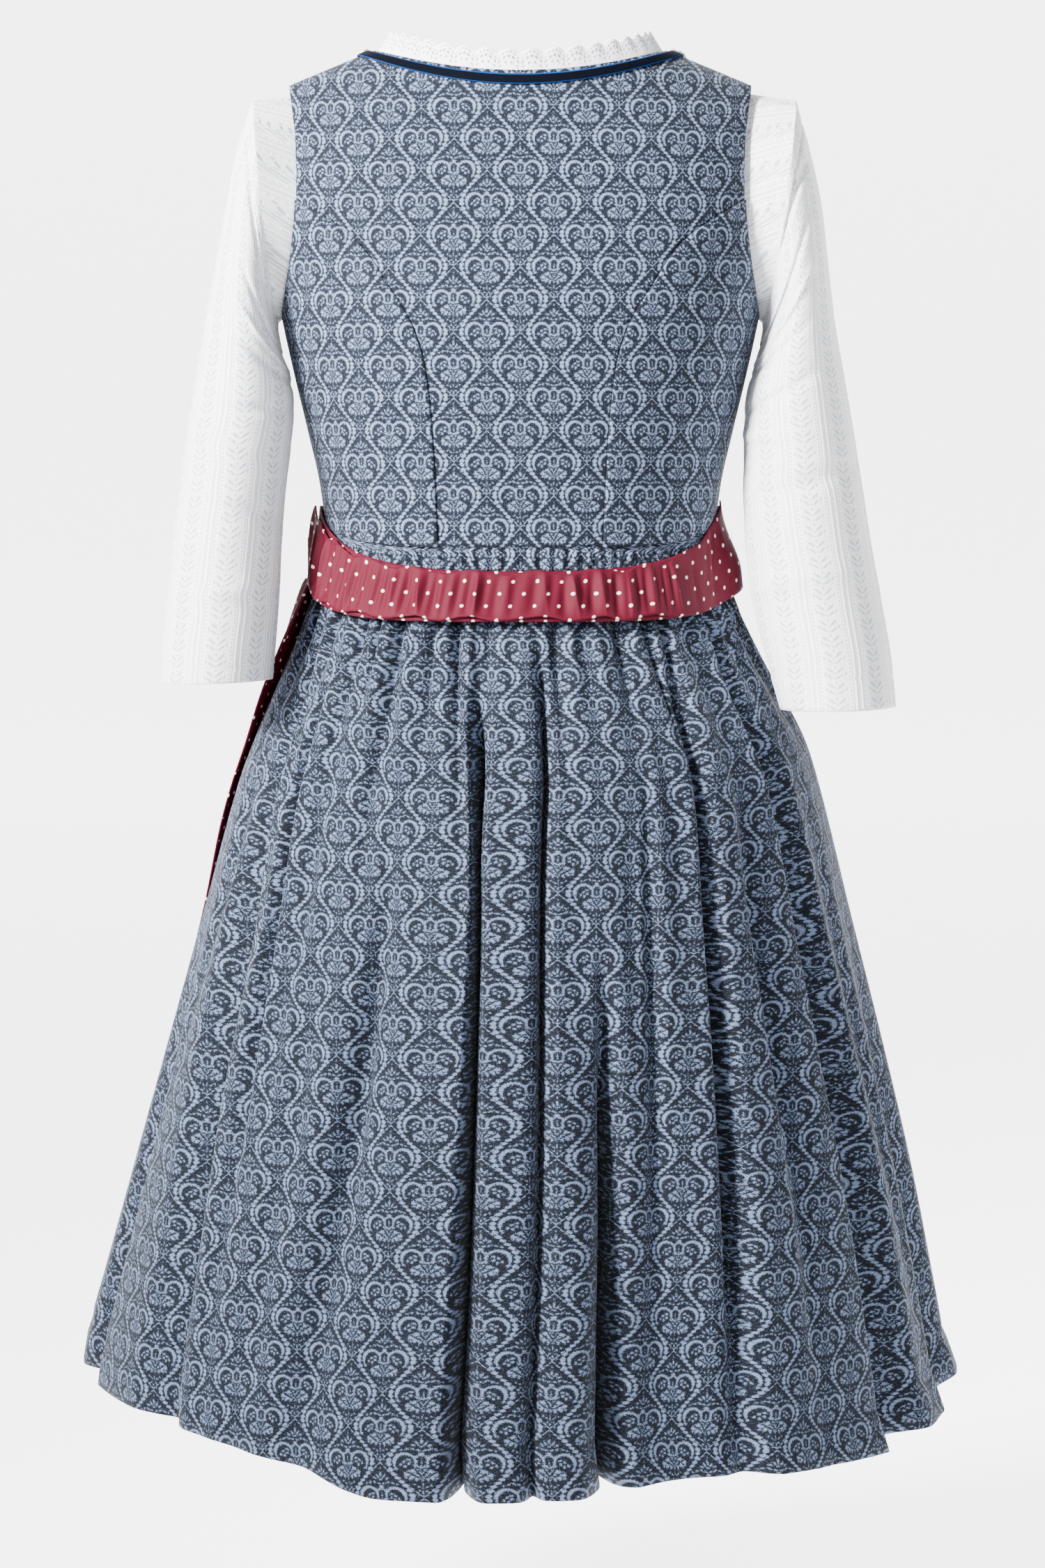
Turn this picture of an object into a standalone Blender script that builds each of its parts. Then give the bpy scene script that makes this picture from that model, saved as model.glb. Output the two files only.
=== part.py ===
"""Dirndl worn by nobody: fitted bodice and gathered skirt, apron with wrapped ties, short blouse.

The wearer faces -Y, the wearer's left is +X, and +Z is up. The origin lies between the two points where
the neckline meets the shoulders, at their height, which is where the wearer's shoulders hold it up.
"""

import math
from collections import namedtuple

import bmesh
import bpy
from mathutils import Vector

MM = 0.001

# Driving dimensions in metres
WALL = 1.2 * MM
SEAM = 0.5 * MM
GAP = 0.35 * MM
BLOUSE_DEPTH = 4.3 * MM
ROUNDNESS = 2.3

NECK_HALF = 84 * MM
NECK_DROP_BACK = 15 * MM
NECK_DROP_FRONT = 98 * MM
BLOUSE_NECK_DROP_FRONT = 58 * MM
SHOULDER_HALF = 131.6 * MM
SHOULDER_SLOPE = 0.425
SHOULDER_ROUND = 70 * MM
NECK_SOFTENING = 30 * MM
ARMPIT = -152 * MM

WAIST_SIDE = -286 * MM
WAIST_BACK = -302 * MM
WAIST_FRONT = -290 * MM
CASING_HEIGHT = 20.7 * MM
CASING_GATHERS = 36
CASING_SWELL = 1.1 * MM

SKIRT_HEM_SIDE = -750 * MM
HEM_BACK_DEPTH = 240 * MM
HEM_FRONT_DEPTH = 216 * MM
WAIST_DEPTH = 85 * MM
PLEATS_BACK = 20
PLEATS_FRONT = 16
PLEAT_SWELL = 2.8 * MM
PLEAT_FADE = 0.34

BOW_ANGLE = 150
KNOT_HALF = 11 * MM
KNOT_DEEP = 8 * MM
KNOT_TALL = 13 * MM
LOOP_REACH = 66 * MM
LOOP_FAT = 8 * MM
TAIL_LENGTH = 210 * MM
TAIL_TURN_RADIUS = 130 * MM

APRON_GATHERS = 16
APRON_STAND = 7.5 * MM
APRON_HEM_RISE = 22 * MM

BLOUSE_HEM = -205 * MM
BLOUSE_NECK_INSET = 4 * MM
FRILL_INSET = 1.6 * MM
FRILL_HEIGHT = 14.5 * MM
FRILL_SCALLOPS = 38
SCALLOP_DEPTH = 3.2 * MM
FRILL_LEAN = 0.10
FRILL_LEAN_AT_SIDES = 0.45

# Columns and rows of each wall
CASING_COLUMNS = CASING_GATHERS * 3
SIDE_BACK_COLUMNS = 6
FRONT_GRID = (12, 12)
RIBBON_GRID = (56, 1)
PLACKET_GRID = (3, 8)
SKIRT_BACK_COLUMNS = 80
SKIRT_FRONT_COLUMNS = 48
SKIRT_ROWS = 8
BAND_GRID = (30, 2)
TIE_OVER_GRID = (51, 2)
APRON_GRID = (50, 7)
LOOP_GRID = (20, 2)
TAIL_GRID = (4, 10)
BLOUSE_GRID = (20, 12)
SLEEVE_GRID = (18, 11)
FRILL_GRID = (FRILL_SCALLOPS * 2, 1)

RIBBON_INSET = 2.6 * MM
RIBBON_WIDTH = 6 * MM
BUTTONS = 5
BUTTON_RADIUS = 6 * MM
BUTTON_FACE_RADIUS = 4.8 * MM
BUTTON_THICKNESS = 2 * MM
BUTTON_SIDES = 12
PLACKET_HALF = 9 * MM
PLACKET_ABOVE_WAIST = 24 * MM
RIBBON_WALL = 0.8 * MM
BLOUSE_WALL = 1.0 * MM
FRILL_WALL = 0.8 * MM

# Colours as linear values
DAMASK = (0.075, 0.115, 0.18, 1)
VELVET = (0.005, 0.010, 0.035, 1)
CRIMSON = (0.36, 0.022, 0.065, 1)
WHITE = (0.85, 0.84, 0.86, 1)
PEWTER = (0.42, 0.40, 0.38, 1)

# Torso sections: height, half width, depth behind the side seam and in front of it
Section = namedtuple("Section", "z half back front")
TORSO = [
    Section(-0.310, 0.1100, 0.0850, 0.0850),
    Section(-0.280, 0.1100, 0.0850, 0.0850),
    Section(-0.248, 0.1134, 0.0880, 0.0890),
    Section(-0.216, 0.1204, 0.0920, 0.0940),
    Section(-0.184, 0.1280, 0.0945, 0.0965),
    Section(-0.152, 0.1350, 0.0940, 0.0950),
    Section(-0.120, 0.1405, 0.0880, 0.0880),
    Section(-0.088, 0.1450, 0.0800, 0.0790),
    Section(-0.056, 0.1465, 0.0700, 0.0670),
    Section(-0.020, 0.1500, 0.0560, 0.0500),
    Section(0.036, 0.1500, 0.0500, 0.0420),
]

# Armhole edge: height and half width, from the armpit to the shoulder end
Edge = namedtuple("Edge", "z half")
ARMHOLE_BACK = [
    Edge(-0.152, 0.1350),
    Edge(-0.140, 0.1325),
    Edge(-0.120, 0.1290),
    Edge(-0.087, 0.1258),
    Edge(-0.056, 0.1265),
    Edge(-0.035, 0.1290),
    Edge(-0.0195, 0.1316),
]
ARMHOLE_FRONT = [
    Edge(-0.152, 0.1350),
    Edge(-0.140, 0.1290),
    Edge(-0.120, 0.1225),
    Edge(-0.087, 0.1180),
    Edge(-0.056, 0.1210),
    Edge(-0.035, 0.1270),
    Edge(-0.0195, 0.1316),
]

# Princess seam of the back, from the waist to the armhole
PRINCESS = [
    Edge(-0.305, 0.0452),
    Edge(-0.287, 0.0457),
    Edge(-0.248, 0.0472),
    Edge(-0.209, 0.0495),
    Edge(-0.179, 0.0533),
    Edge(-0.158, 0.0599),
    Edge(-0.137, 0.0724),
    Edge(-0.114, 0.0879),
    Edge(-0.105, 0.0979),
    Edge(-0.087, 0.1258),
]

# Skirt: height at the side seam, half width, and how far its middle leans to -X
Flare = namedtuple("Flare", "z half lean")
SKIRT = [
    Flare(-0.750, 0.2520, 0.0000),
    Flare(-0.728, 0.2462, -0.0018),
    Flare(-0.704, 0.2404, -0.0008),
    Flare(-0.632, 0.2232, 0.0020),
    Flare(-0.560, 0.2046, 0.0034),
    Flare(-0.488, 0.1855, 0.0042),
    Flare(-0.416, 0.1665, 0.0050),
    Flare(-0.392, 0.1580, 0.0056),
    Flare(-0.360, 0.1425, 0.0040),
    Flare(-0.344, 0.1345, 0.0030),
    Flare(-0.328, 0.1270, 0.0020),
    Flare(-0.312, 0.1200, 0.0010),
    Flare(-0.296, 0.1130, 0.0000),
    Flare(-0.286, 0.1100, 0.0000),
]

# Hem height by angle in degrees, 0 at the back middle and positive towards +X
Hem = namedtuple("Hem", "angle z")
HEM = [
    Hem(-180, -0.764),
    Hem(-110, -0.756),
    Hem(-90, -0.753),
    Hem(-72, -0.767),
    Hem(-52, -0.776),
    Hem(-31, -0.776),
    Hem(-8, -0.781),
    Hem(8, -0.783),
    Hem(17, -0.783),
    Hem(28, -0.771),
    Hem(42, -0.761),
    Hem(64, -0.753),
    Hem(90, -0.747),
    Hem(110, -0.754),
    Hem(180, -0.764),
]

# Skirt folds: angles at waist and hem, share of the length where each starts and is full, depth, share of
# that depth left at the hem, and half width at the hem
Fold = namedtuple("Fold", "top hem start full depth at_hem half")
FOLDS = [
    Fold(9.8, 6.9, 0.04, 0.46, 0.034, 1.00, 0.0150),
    Fold(-3.0, -1.8, 0.02, 0.30, 0.010, 0.45, 0.0160),
    Fold(-13.5, -11.5, 0.38, 0.85, 0.034, 1.00, 0.0210),
    Fold(-21.0, -21.0, 0.35, 0.90, 0.020, 1.00, 0.0620),
    Fold(-37.0, -30.5, 0.05, 0.42, 0.020, 0.50, 0.0190),
    Fold(-60.0, -60.0, 0.02, 0.45, 0.022, 0.90, 0.0260),
    Fold(70.0, 52.0, 0.02, 0.40, 0.014, 0.60, 0.0280),
    Fold(25.0, 28.5, 0.30, 0.60, 0.008, 0.70, 0.0300),
    Fold(-80.0, -78.0, 0.30, 0.90, 0.012, 1.00, 0.0300),
    Fold(84.0, 76.0, 0.35, 0.90, 0.012, 1.00, 0.0260),
    Fold(112.0, 108.0, 0.10, 0.70, 0.020, 1.00, 0.0340),
    Fold(146.0, 140.0, 0.10, 0.70, 0.018, 1.00, 0.0380),
    Fold(176.0, 172.0, 0.10, 0.70, 0.014, 1.00, 0.0400),
    Fold(-152.0, -150.0, 0.10, 0.70, 0.020, 1.00, 0.0380),
    Fold(-116.0, -112.0, 0.10, 0.70, 0.018, 1.00, 0.0340),
]

# Sleeve sections, shoulder to cuff: outer line and inner line in the XZ plane, half depth along Y and
# how far the middle stands back
Cut = namedtuple("Cut", "outer_x outer_z inner_x inner_z deep back")
SLEEVE_LEFT = [
    Cut(0.1520, -0.0265, 0.1385, -0.1535, 0.0500, 0.000),
    Cut(0.1618, -0.0570, 0.1385, -0.1580, 0.0520, 0.001),
    Cut(0.1676, -0.0884, 0.1370, -0.1660, 0.0520, 0.003),
    Cut(0.1736, -0.1204, 0.1345, -0.1750, 0.0510, 0.006),
    Cut(0.1792, -0.1524, 0.1305, -0.1870, 0.0490, 0.010),
    Cut(0.1844, -0.1844, 0.1288, -0.2030, 0.0475, 0.014),
    Cut(0.1892, -0.2164, 0.1303, -0.2240, 0.0465, 0.018),
    Cut(0.1936, -0.2484, 0.1335, -0.2510, 0.0460, 0.021),
    Cut(0.1976, -0.2804, 0.1356, -0.2804, 0.0460, 0.024),
    Cut(0.2010, -0.3110, 0.1370, -0.3110, 0.0460, 0.027),
    Cut(0.2040, -0.3390, 0.1388, -0.3360, 0.0465, 0.030),
    Cut(0.2050, -0.3580, 0.1405, -0.3560, 0.0470, 0.031),
]
SLEEVE_RIGHT = [
    Cut(0.1570, -0.0290, 0.1385, -0.1535, 0.0500, 0.000),
    Cut(0.1650, -0.0570, 0.1385, -0.1580, 0.0520, 0.001),
    Cut(0.1715, -0.0884, 0.1370, -0.1660, 0.0530, 0.004),
    Cut(0.1750, -0.1204, 0.1345, -0.1750, 0.0530, 0.008),
    Cut(0.1785, -0.1524, 0.1305, -0.1870, 0.0520, 0.013),
    Cut(0.1838, -0.1844, 0.1275, -0.2030, 0.0510, 0.018),
    Cut(0.1890, -0.2164, 0.1268, -0.2240, 0.0500, 0.024),
    Cut(0.1938, -0.2484, 0.1262, -0.2510, 0.0495, 0.030),
    Cut(0.1985, -0.2804, 0.1275, -0.2804, 0.0490, 0.036),
    Cut(0.2040, -0.3124, 0.1315, -0.3124, 0.0480, 0.042),
    Cut(0.2090, -0.3444, 0.1380, -0.3424, 0.0475, 0.050),
    Cut(0.2110, -0.3700, 0.1460, -0.3720, 0.0460, 0.058),
]


def lerp(a, b, share):
    return a + (b - a) * share


def smooth_step(start, end, at):
    share = min(max((at - start) / (end - start), 0.0), 1.0)
    return share * share * (3 - 2 * share)


def signed_power(value, exponent):
    return math.copysign(abs(value) ** exponent, value)


def along(rows, at, column):
    """Value of a named column where the first column is at, on a smooth curve through the rows."""
    keys = [row[0] for row in rows]
    values = [getattr(row, column) for row in rows]
    at = min(max(at, keys[0]), keys[-1])
    low = 0
    while low < len(keys) - 2 and at > keys[low + 1]:
        low += 1
    high = low + 1
    span = keys[high] - keys[low]
    slope = (values[high] - values[low]) / span

    def tangent(i):
        if i == 0 or i == len(keys) - 1:
            return slope
        before = (values[i] - values[i - 1]) / (keys[i] - keys[i - 1])
        after = (values[i + 1] - values[i]) / (keys[i + 1] - keys[i])
        if before * after <= 0:
            return 0.0
        return 2 * before * after / (before + after)

    s = (at - keys[low]) / span
    rise = tangent(low) * span
    land = tangent(high) * span
    return (
        values[low] * (1 + 2 * s) * (1 - s) ** 2
        + rise * s * (1 - s) ** 2
        + values[high] * s * s * (3 - 2 * s)
        + land * s * s * (s - 1)
    )


# Torso

def shoulder_height(x):
    """Height of the shoulder line above a place beside the neck."""
    return SHOULDER_SLOPE * (math.hypot(NECK_HALF, NECK_SOFTENING) - math.hypot(x, NECK_SOFTENING))


def torso(side, angle, z):
    """Point of the bodice, side 1 behind the side seams and -1 in front, angle 0 at the middle."""
    half = along(TORSO, z, "half")
    depth = along(TORSO, z, "back" if side > 0 else "front")
    power = 2 / ROUNDNESS
    x = half * signed_power(math.sin(angle), power)
    under = min(max((shoulder_height(x) - z) / SHOULDER_ROUND, 0.0), 1.0)
    crest = math.sqrt(1 - (1 - under) ** 2)
    y = depth * crest * abs(math.cos(angle)) ** power
    return Vector((x, side * (SEAM / 2 + y), z))


def angle_of(x, z):
    share = min(abs(x) / along(TORSO, z, "half"), 1.0)
    return math.copysign(math.asin(share ** (ROUNDNESS / 2)), x)


def waist_height(angle):
    """Height of the seam between bodice and skirt, lowest at the back."""
    c = math.cos(angle)
    if c >= 0:
        return lerp(WAIST_SIDE, WAIST_BACK, 1 - (1 - c) ** 1.5)
    return lerp(WAIST_SIDE, WAIST_FRONT, 1 - (1 + c) ** 1.5)


def armhole(side, share, widen=0.0):
    """Angle and height on the armhole edge, from the shoulder end to the armpit."""
    rows = ARMHOLE_BACK if side > 0 else ARMHOLE_FRONT
    top = shoulder_height(SHOULDER_HALF + widen)
    eased = (1 - math.cos(math.pi * share)) / 2
    z = lerp(top, ARMPIT, eased)
    x = along(rows, z, "half") + widen * (1 - eased)
    return angle_of(x, z), z


def neckline(side, turn, inset, drop_front=NECK_DROP_FRONT):
    """Half width and height on the neckline moved inset away from the neck, turn 0 at the middle."""
    radius = NECK_HALF + inset
    if side > 0:
        drop, x_power, z_power = NECK_DROP_BACK, 1.0, 2.0
    else:
        drop, x_power, z_power = drop_front, 0.72, 0.72
    x = radius * math.sin(turn) ** x_power
    down = max(math.cos(turn), 0.0) ** z_power
    z = lerp(shoulder_height(radius), -drop - inset, down)
    return x, z


def patch(left, right, top, bottom, hold=1):
    """Patch of angle and height between four edges, each a function from 0 to 1.

    With hold 1 it is a Coons patch. A higher hold keeps the bend of the side edges near them.
    """

    def inside(u, v):
        values = []
        for i in range(2):
            off_left = left(v)[i] - lerp(top(0)[i], bottom(0)[i], v)
            off_right = right(v)[i] - lerp(top(1)[i], bottom(1)[i], v)
            ruled = lerp(top(u)[i], bottom(u)[i], v)
            values.append(ruled + off_left * (1 - u) ** hold + off_right * u ** hold)
        return values

    return inside


def on_torso(side, hand, inside, ease):
    """Surface of a patch laid on the torso, on the wearer's left (1) or right (-1)."""

    def surface(u, v):
        angle, z = inside(u, ease(v))
        point = torso(side, angle, z)
        return Vector((point.x * hand, point.y, point.z))

    return surface


# Walls

def offset(surface, u, v, depth, facing):
    """Point of a surface moved inwards by depth, along the normal from small steps."""
    step = 1e-3
    u0, u1 = max(u - step, 0.0), min(u + step, 1.0)
    v0, v1 = max(v - step, 0.0), min(v + step, 1.0)
    over = surface(u1, v) - surface(u0, v)
    down = surface(u, v1) - surface(u, v0)
    normal = down.cross(over).normalized() * facing
    return surface(u, v) - normal * depth


def wall(name, surface, columns, rows, material, facing=1, depth=0.0, thickness=WALL, closed=False):
    """Cloth wall: a grid laid on the surface, u across from +X to -X and v down, extruded inwards.

    The depth of its outer face under the surface is a number, or a function of u and v.
    """
    bm = bmesh.new()
    across = bm.verts.layers.float.new("across")
    below = bm.verts.layers.float.new("below")
    bmesh.ops.create_grid(bm, x_segments=columns, y_segments=rows, size=0.5)
    for vert in bm.verts:
        vert[across] = min(max(vert.co.x + 0.5, 0.0), 1.0)
        vert[below] = min(max(0.5 - vert.co.y, 0.0), 1.0)
    if closed:
        for vert in bm.verts:
            turn = math.tau * vert[across]
            vert.co = (math.cos(turn), math.sin(turn), -vert[below])
        bmesh.ops.remove_doubles(bm, verts=bm.verts, dist=1e-5)
    made = bmesh.ops.extrude_face_region(bm, geom=list(bm.faces))
    inner = {item for item in made["geom"] if isinstance(item, bmesh.types.BMVert)}
    for vert in bm.verts:
        under = depth(vert[across], vert[below]) if callable(depth) else depth
        under += thickness if vert in inner else 0.0
        vert.co = offset(surface, vert[across], vert[below], under, facing)
    return add_object(name, bm, material)


def add_object(name, bm, material):
    bmesh.ops.recalc_face_normals(bm, faces=bm.faces)
    if bm.calc_volume(signed=True) < 0:
        bmesh.ops.reverse_faces(bm, faces=bm.faces)
    mesh = bpy.data.meshes.new(name)
    bm.to_mesh(mesh)
    bm.free()
    mesh.shade_smooth()
    mesh.materials.append(material)
    made = bpy.data.objects.new(name, mesh)
    bpy.data.collections["dirndl"].objects.link(made)
    return made


def cloth(name, colour, roughness=0.8, metallic=0.0):
    material = bpy.data.materials.new(name)
    material.use_nodes = True
    shader = material.node_tree.nodes["Principled BSDF"]
    shader.inputs["Base Color"].default_value = colour
    shader.inputs["Roughness"].default_value = roughness
    shader.inputs["Metallic"].default_value = metallic
    return material


# Bodice

BACK_COLUMNS = 16
NECK_SHARE = 10 / 16
BACK_ROWS = 14
ARMHOLE_ROWS = 4


def ease_shoulder(v):
    """Rows drawn close together under the shoulder line, where the cloth turns over."""
    return v ** 1.5


def ease_below_armhole(v):
    """The same rows counted from where the princess seam leaves the armhole."""
    start = ease_shoulder(ARMHOLE_ROWS / BACK_ROWS)
    return (ease_shoulder(lerp(ARMHOLE_ROWS / BACK_ROWS, 1.0, v)) - start) / (1 - start)


def casing_top(angle):
    return waist_height(angle) + CASING_HEIGHT


def princess(v):
    foot = angle_of(PRINCESS[0].half, WAIST_BACK)
    top, bottom = PRINCESS[-1].z, casing_top(foot) + 2 * GAP
    z = lerp(top, bottom, v)
    return angle_of(along(PRINCESS, z, "half"), z), z


def share_at_princess():
    """Share of the back armhole that lies above the princess seam."""
    top = shoulder_height(SHOULDER_HALF)
    eased = (PRINCESS[-1].z - top) / (ARMPIT - top)
    return math.acos(1 - 2 * eased) / math.pi


def back_top(u):
    """Shoulder lines and back neckline, u from +X to -X."""
    reach = abs(2 * u - 1)
    if reach > NECK_SHARE:
        x = lerp(NECK_HALF, SHOULDER_HALF, (reach - NECK_SHARE) / (1 - NECK_SHARE))
        z = shoulder_height(x)
    else:
        x, z = neckline(1, math.pi / 2 * reach / NECK_SHARE, 0.0)
    x = math.copysign(x, 0.5 - u)
    return angle_of(x, z), z


def back_side(v, hand):
    corner = ease_shoulder(ARMHOLE_ROWS / BACK_ROWS)
    if v < corner:
        angle, z = armhole(1, share_at_princess() * v / corner)
    else:
        angle, z = princess((v - corner) / (1 - corner))
    return (angle - seam_turn(z)) * hand, z


def seam_turn(z):
    """Angle that half a seam gap takes up at this height."""
    return SEAM / 2 / along(TORSO, z, "half") * 1.6


def build_bodice(colour):
    def back_bottom(u):
        edge = princess(1)[0] - seam_turn(casing_top(0))
        angle = lerp(edge, -edge, u)
        return angle, casing_top(angle) + 2 * GAP

    back = patch(lambda v: back_side(v, 1), lambda v: back_side(v, -1), back_top, back_bottom)
    wall("bodice_back", on_torso(1, 1, back, ease_shoulder), BACK_COLUMNS, BACK_ROWS, colour)

    for hand, side_name in ((1, "left"), (-1, "right")):
        start = share_at_princess()

        def side_top(u):
            angle, z = armhole(1, lerp(start, 1.0, u))
            return lerp(angle + seam_turn(z), angle, u), z

        def side_seam(v):
            z = lerp(ARMPIT, casing_top(math.pi / 2) + 2 * GAP, v)
            return math.pi / 2, z

        def side_princess(v):
            angle, z = princess(v)
            return angle + seam_turn(z), z

        def side_bottom(u):
            angle = lerp(side_princess(1)[0], math.pi / 2, u)
            return angle, lerp(side_princess(1)[1], casing_top(math.pi / 2) + 2 * GAP, u)

        side_back = patch(side_princess, side_seam, side_top, side_bottom)
        rows = BACK_ROWS - ARMHOLE_ROWS
        laid = on_torso(1, hand, side_back, ease_below_armhole)
        wall(f"bodice_side_back_{side_name}", laid, SIDE_BACK_COLUMNS, rows, colour, facing=hand)

        def front_outer(v):
            corner = ease_shoulder(0.5)
            if v < corner:
                return armhole(-1, v / corner)
            z = lerp(ARMPIT, waist_height(math.pi / 2) + GAP, (v - corner) / (1 - corner))
            return math.pi / 2, z

        def front_middle(v):
            z = lerp(-NECK_DROP_FRONT, WAIST_FRONT + GAP, v)
            return seam_turn(z), z

        def front_top(u):
            neck = 1 / 3
            if u < neck:
                x = lerp(SHOULDER_HALF, NECK_HALF, u / neck)
                z = shoulder_height(x)
            else:
                x, z = neckline(-1, turn_to_shoulder((1 - u) / (1 - neck)), 0.0)
            return lerp(angle_of(x, z), seam_turn(z), max(u - neck, 0) ** 3), z

        def front_bottom(u):
            angle = lerp(math.pi / 2, seam_turn(WAIST_FRONT), u)
            return angle, waist_height(math.pi - angle) + GAP

        front = patch(front_outer, front_middle, front_top, front_bottom)
        laid = on_torso(-1, hand, front, ease_shoulder)
        wall(f"bodice_front_{side_name}", laid, *FRONT_GRID, colour, facing=-hand)


def build_casing(colour):
    """Gathered casing of the elastic across the back waist."""

    def surface(u, v):
        angle = lerp(math.pi / 2, -math.pi / 2, u)
        z = lerp(casing_top(angle), waist_height(angle) + GAP, v)
        swell = CASING_SWELL * math.cos(math.tau * CASING_GATHERS * u) * math.sin(math.pi * u) ** 0.5
        point = torso(1, angle, z)
        return point + Vector((math.sin(angle), math.cos(angle), 0)) * swell

    wall("waist_casing", surface, CASING_COLUMNS, 1, colour)


def turn_to_shoulder(way):
    """Turn along the front neckline, with points drawn closer together near the shoulder."""
    return math.pi / 2 * (1 - (1 - way) ** 2.3)


def neck_ring(side, turn, inset, drop_front=NECK_DROP_FRONT):
    """Point of the torso on the neckline moved inset away from the neck, turn from -90 to 90 degrees."""
    x, z = neckline(side, abs(turn), inset, drop_front)
    x = math.copysign(x, turn)
    return torso(side, angle_of(x, z), z)


def round_neck(u, inset, drop_front=NECK_DROP_FRONT):
    """The same all the way round, u 0 and 1 at the middle of the front, 0.5 at the middle of the back."""
    if 0.25 <= u <= 0.75:
        return neck_ring(1, math.pi - math.tau * u, inset, drop_front)
    way = 4 * u if u < 0.25 else 4 * (u - 1)
    turn = math.copysign(turn_to_shoulder(abs(way)), way)
    return neck_ring(-1, turn, inset, drop_front)


def build_ribbon(colour):
    def surface(u, v):
        return round_neck(u, RIBBON_INSET + RIBBON_WIDTH * v)

    above = -RIBBON_WALL - 2 * GAP
    wall("neck_ribbon", surface, *RIBBON_GRID, colour, depth=above, thickness=RIBBON_WALL, closed=True)


def build_front_closure(cloth_colour, button_colour):
    top = -NECK_DROP_FRONT - RIBBON_INSET - RIBBON_WIDTH - 2 * MM

    def surface(u, v):
        z = lerp(top, WAIST_FRONT + PLACKET_ABOVE_WAIST, v)
        angle = angle_of(lerp(PLACKET_HALF, -PLACKET_HALF, u), z)
        return torso(-1, angle, z)

    wall("front_placket", surface, *PLACKET_GRID, cloth_colour, facing=-1, depth=-WALL - GAP)
    for number in range(BUTTONS):
        v = (number + 0.5) / BUTTONS
        seat = offset(surface, 0.5, v, -WALL - 2 * GAP, -1)
        centre = offset(surface, 0.5, v, -WALL - 2 * GAP - BUTTON_THICKNESS / 2 - 0.2 * MM, -1)
        bm = bmesh.new()
        bmesh.ops.create_cone(
            bm,
            cap_ends=True,
            segments=BUTTON_SIDES,
            radius1=BUTTON_RADIUS,
            radius2=BUTTON_FACE_RADIUS,
            depth=BUTTON_THICKNESS,
        )
        button = add_object(f"button_{number + 1}", bm, button_colour)
        button.location = centre
        button.rotation_euler = (centre - seat).to_track_quat("Z", "Y").to_euler()


# Skirt

def skirt_level(t):
    return lerp(WAIST_SIDE, SKIRT_HEM_SIDE, t)


def skirt_point(angle, t, bulge=0.0):
    """Point of the smooth skirt, t from 0 at the waist to 1 at the hem, bulge metres further out."""
    level = skirt_level(t)
    half = along(SKIRT, level, "half")
    lean = along(SKIRT, level, "lean")
    open_share = (half - SKIRT[-1].half) / (SKIRT[0].half - SKIRT[-1].half)
    hem_depth = HEM_BACK_DEPTH if math.cos(angle) >= 0 else HEM_FRONT_DEPTH
    depth = lerp(WAIST_DEPTH, hem_depth, open_share)
    power = 2 / lerp(ROUNDNESS, 2.0, smooth_step(0, 0.4, t))
    x = (half + bulge) * signed_power(math.sin(angle), power) - lean
    y = (depth + bulge) * signed_power(math.cos(angle), power)
    turned = math.degrees(math.remainder(angle, math.tau))
    z = lerp(waist_height(angle) - GAP, along(HEM, turned, "z"), t)
    return Vector((x, y, z))


def fold_shift(angle, t):
    """How far the folds push the skirt out (positive) or in at an angle and share of the length."""
    shift = 0.0
    level = skirt_level(t)
    radius = along(SKIRT, level, "half")
    for fold in FOLDS:
        middle = math.radians(lerp(fold.top, fold.hem, t))
        away = abs(math.remainder(angle - middle, math.tau)) * radius
        half = fold.half * lerp(0.55, 1.0, t)
        if away < half:
            strength = smooth_step(fold.start, fold.full, t)
            strength *= lerp(1.0, fold.at_hem, smooth_step(fold.full, 1.0, t))
            shift -= fold.depth * strength * (1 + math.cos(math.pi * away / half)) / 2
    return shift


def pleat_shift(turns, t):
    fade = smooth_step(-0.03, 0.05, t) * (1 - smooth_step(0.06, PLEAT_FADE, t))
    return PLEAT_SWELL * fade * math.cos(math.tau * turns)


def draw_close(angles, density):
    """Share to angle, with columns closer together where the density is high."""
    low, high = angles
    steps = 720
    total = [0.0]
    for i in range(steps):
        total.append(total[-1] + density(lerp(low, high, (i + 0.5) / steps)))

    def angle_at(u):
        wanted = u * total[-1]
        lo, hi = 0, steps
        while hi - lo > 1:
            mid = (lo + hi) // 2
            lo, hi = (mid, hi) if total[mid] <= wanted else (lo, mid)
        part = (wanted - total[lo]) / (total[hi] - total[lo])
        return lerp(low, high, (lo + part) / steps)

    return angle_at


def fold_density(angle):
    """Columns for each radian: more where a deep narrow fold lies."""
    density = 1.0
    for fold in FOLDS:
        middle = math.radians(fold.hem)
        spread = fold.half / SKIRT[0].half
        away = math.remainder(angle - middle, math.tau) / spread
        density += 55 * fold.depth * math.exp(-away * away)
    return density


def build_skirt(colour):
    seam = SEAM / 2 / SKIRT[-1].half
    for name, angles, columns, pleats in (
        ("skirt_back", (math.pi / 2 - seam, -math.pi / 2 + seam), SKIRT_BACK_COLUMNS, PLEATS_BACK),
        ("skirt_front", (-math.pi / 2 - seam, -1.5 * math.pi + seam), SKIRT_FRONT_COLUMNS, PLEATS_FRONT),
    ):
        angle_at = draw_close(angles, fold_density)

        def surface(u, v):
            t = v ** 1.25
            angle = angle_at(u)
            turns = pleats * (angle - angles[0]) / (angles[1] - angles[0])
            shift = fold_shift(angle, t) + pleat_shift(turns, t)
            return skirt_point(angle, t) + Vector((math.sin(angle), math.cos(angle), 0)) * shift

        wall(name, surface, columns, SKIRT_ROWS, colour)


# Apron

def band_top(angle):
    c = math.cos(angle)
    if c >= 0:
        return lerp(-0.258, -0.294, 1 - (1 - c) ** 1.3)
    return lerp(-0.258, -0.262, -c)


def band_bottom(angle):
    c = math.cos(angle)
    if c >= 0:
        return lerp(-0.299, -0.3215, 1 - (1 - c) ** 2)
    return lerp(-0.299, -0.302, -c)


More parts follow.
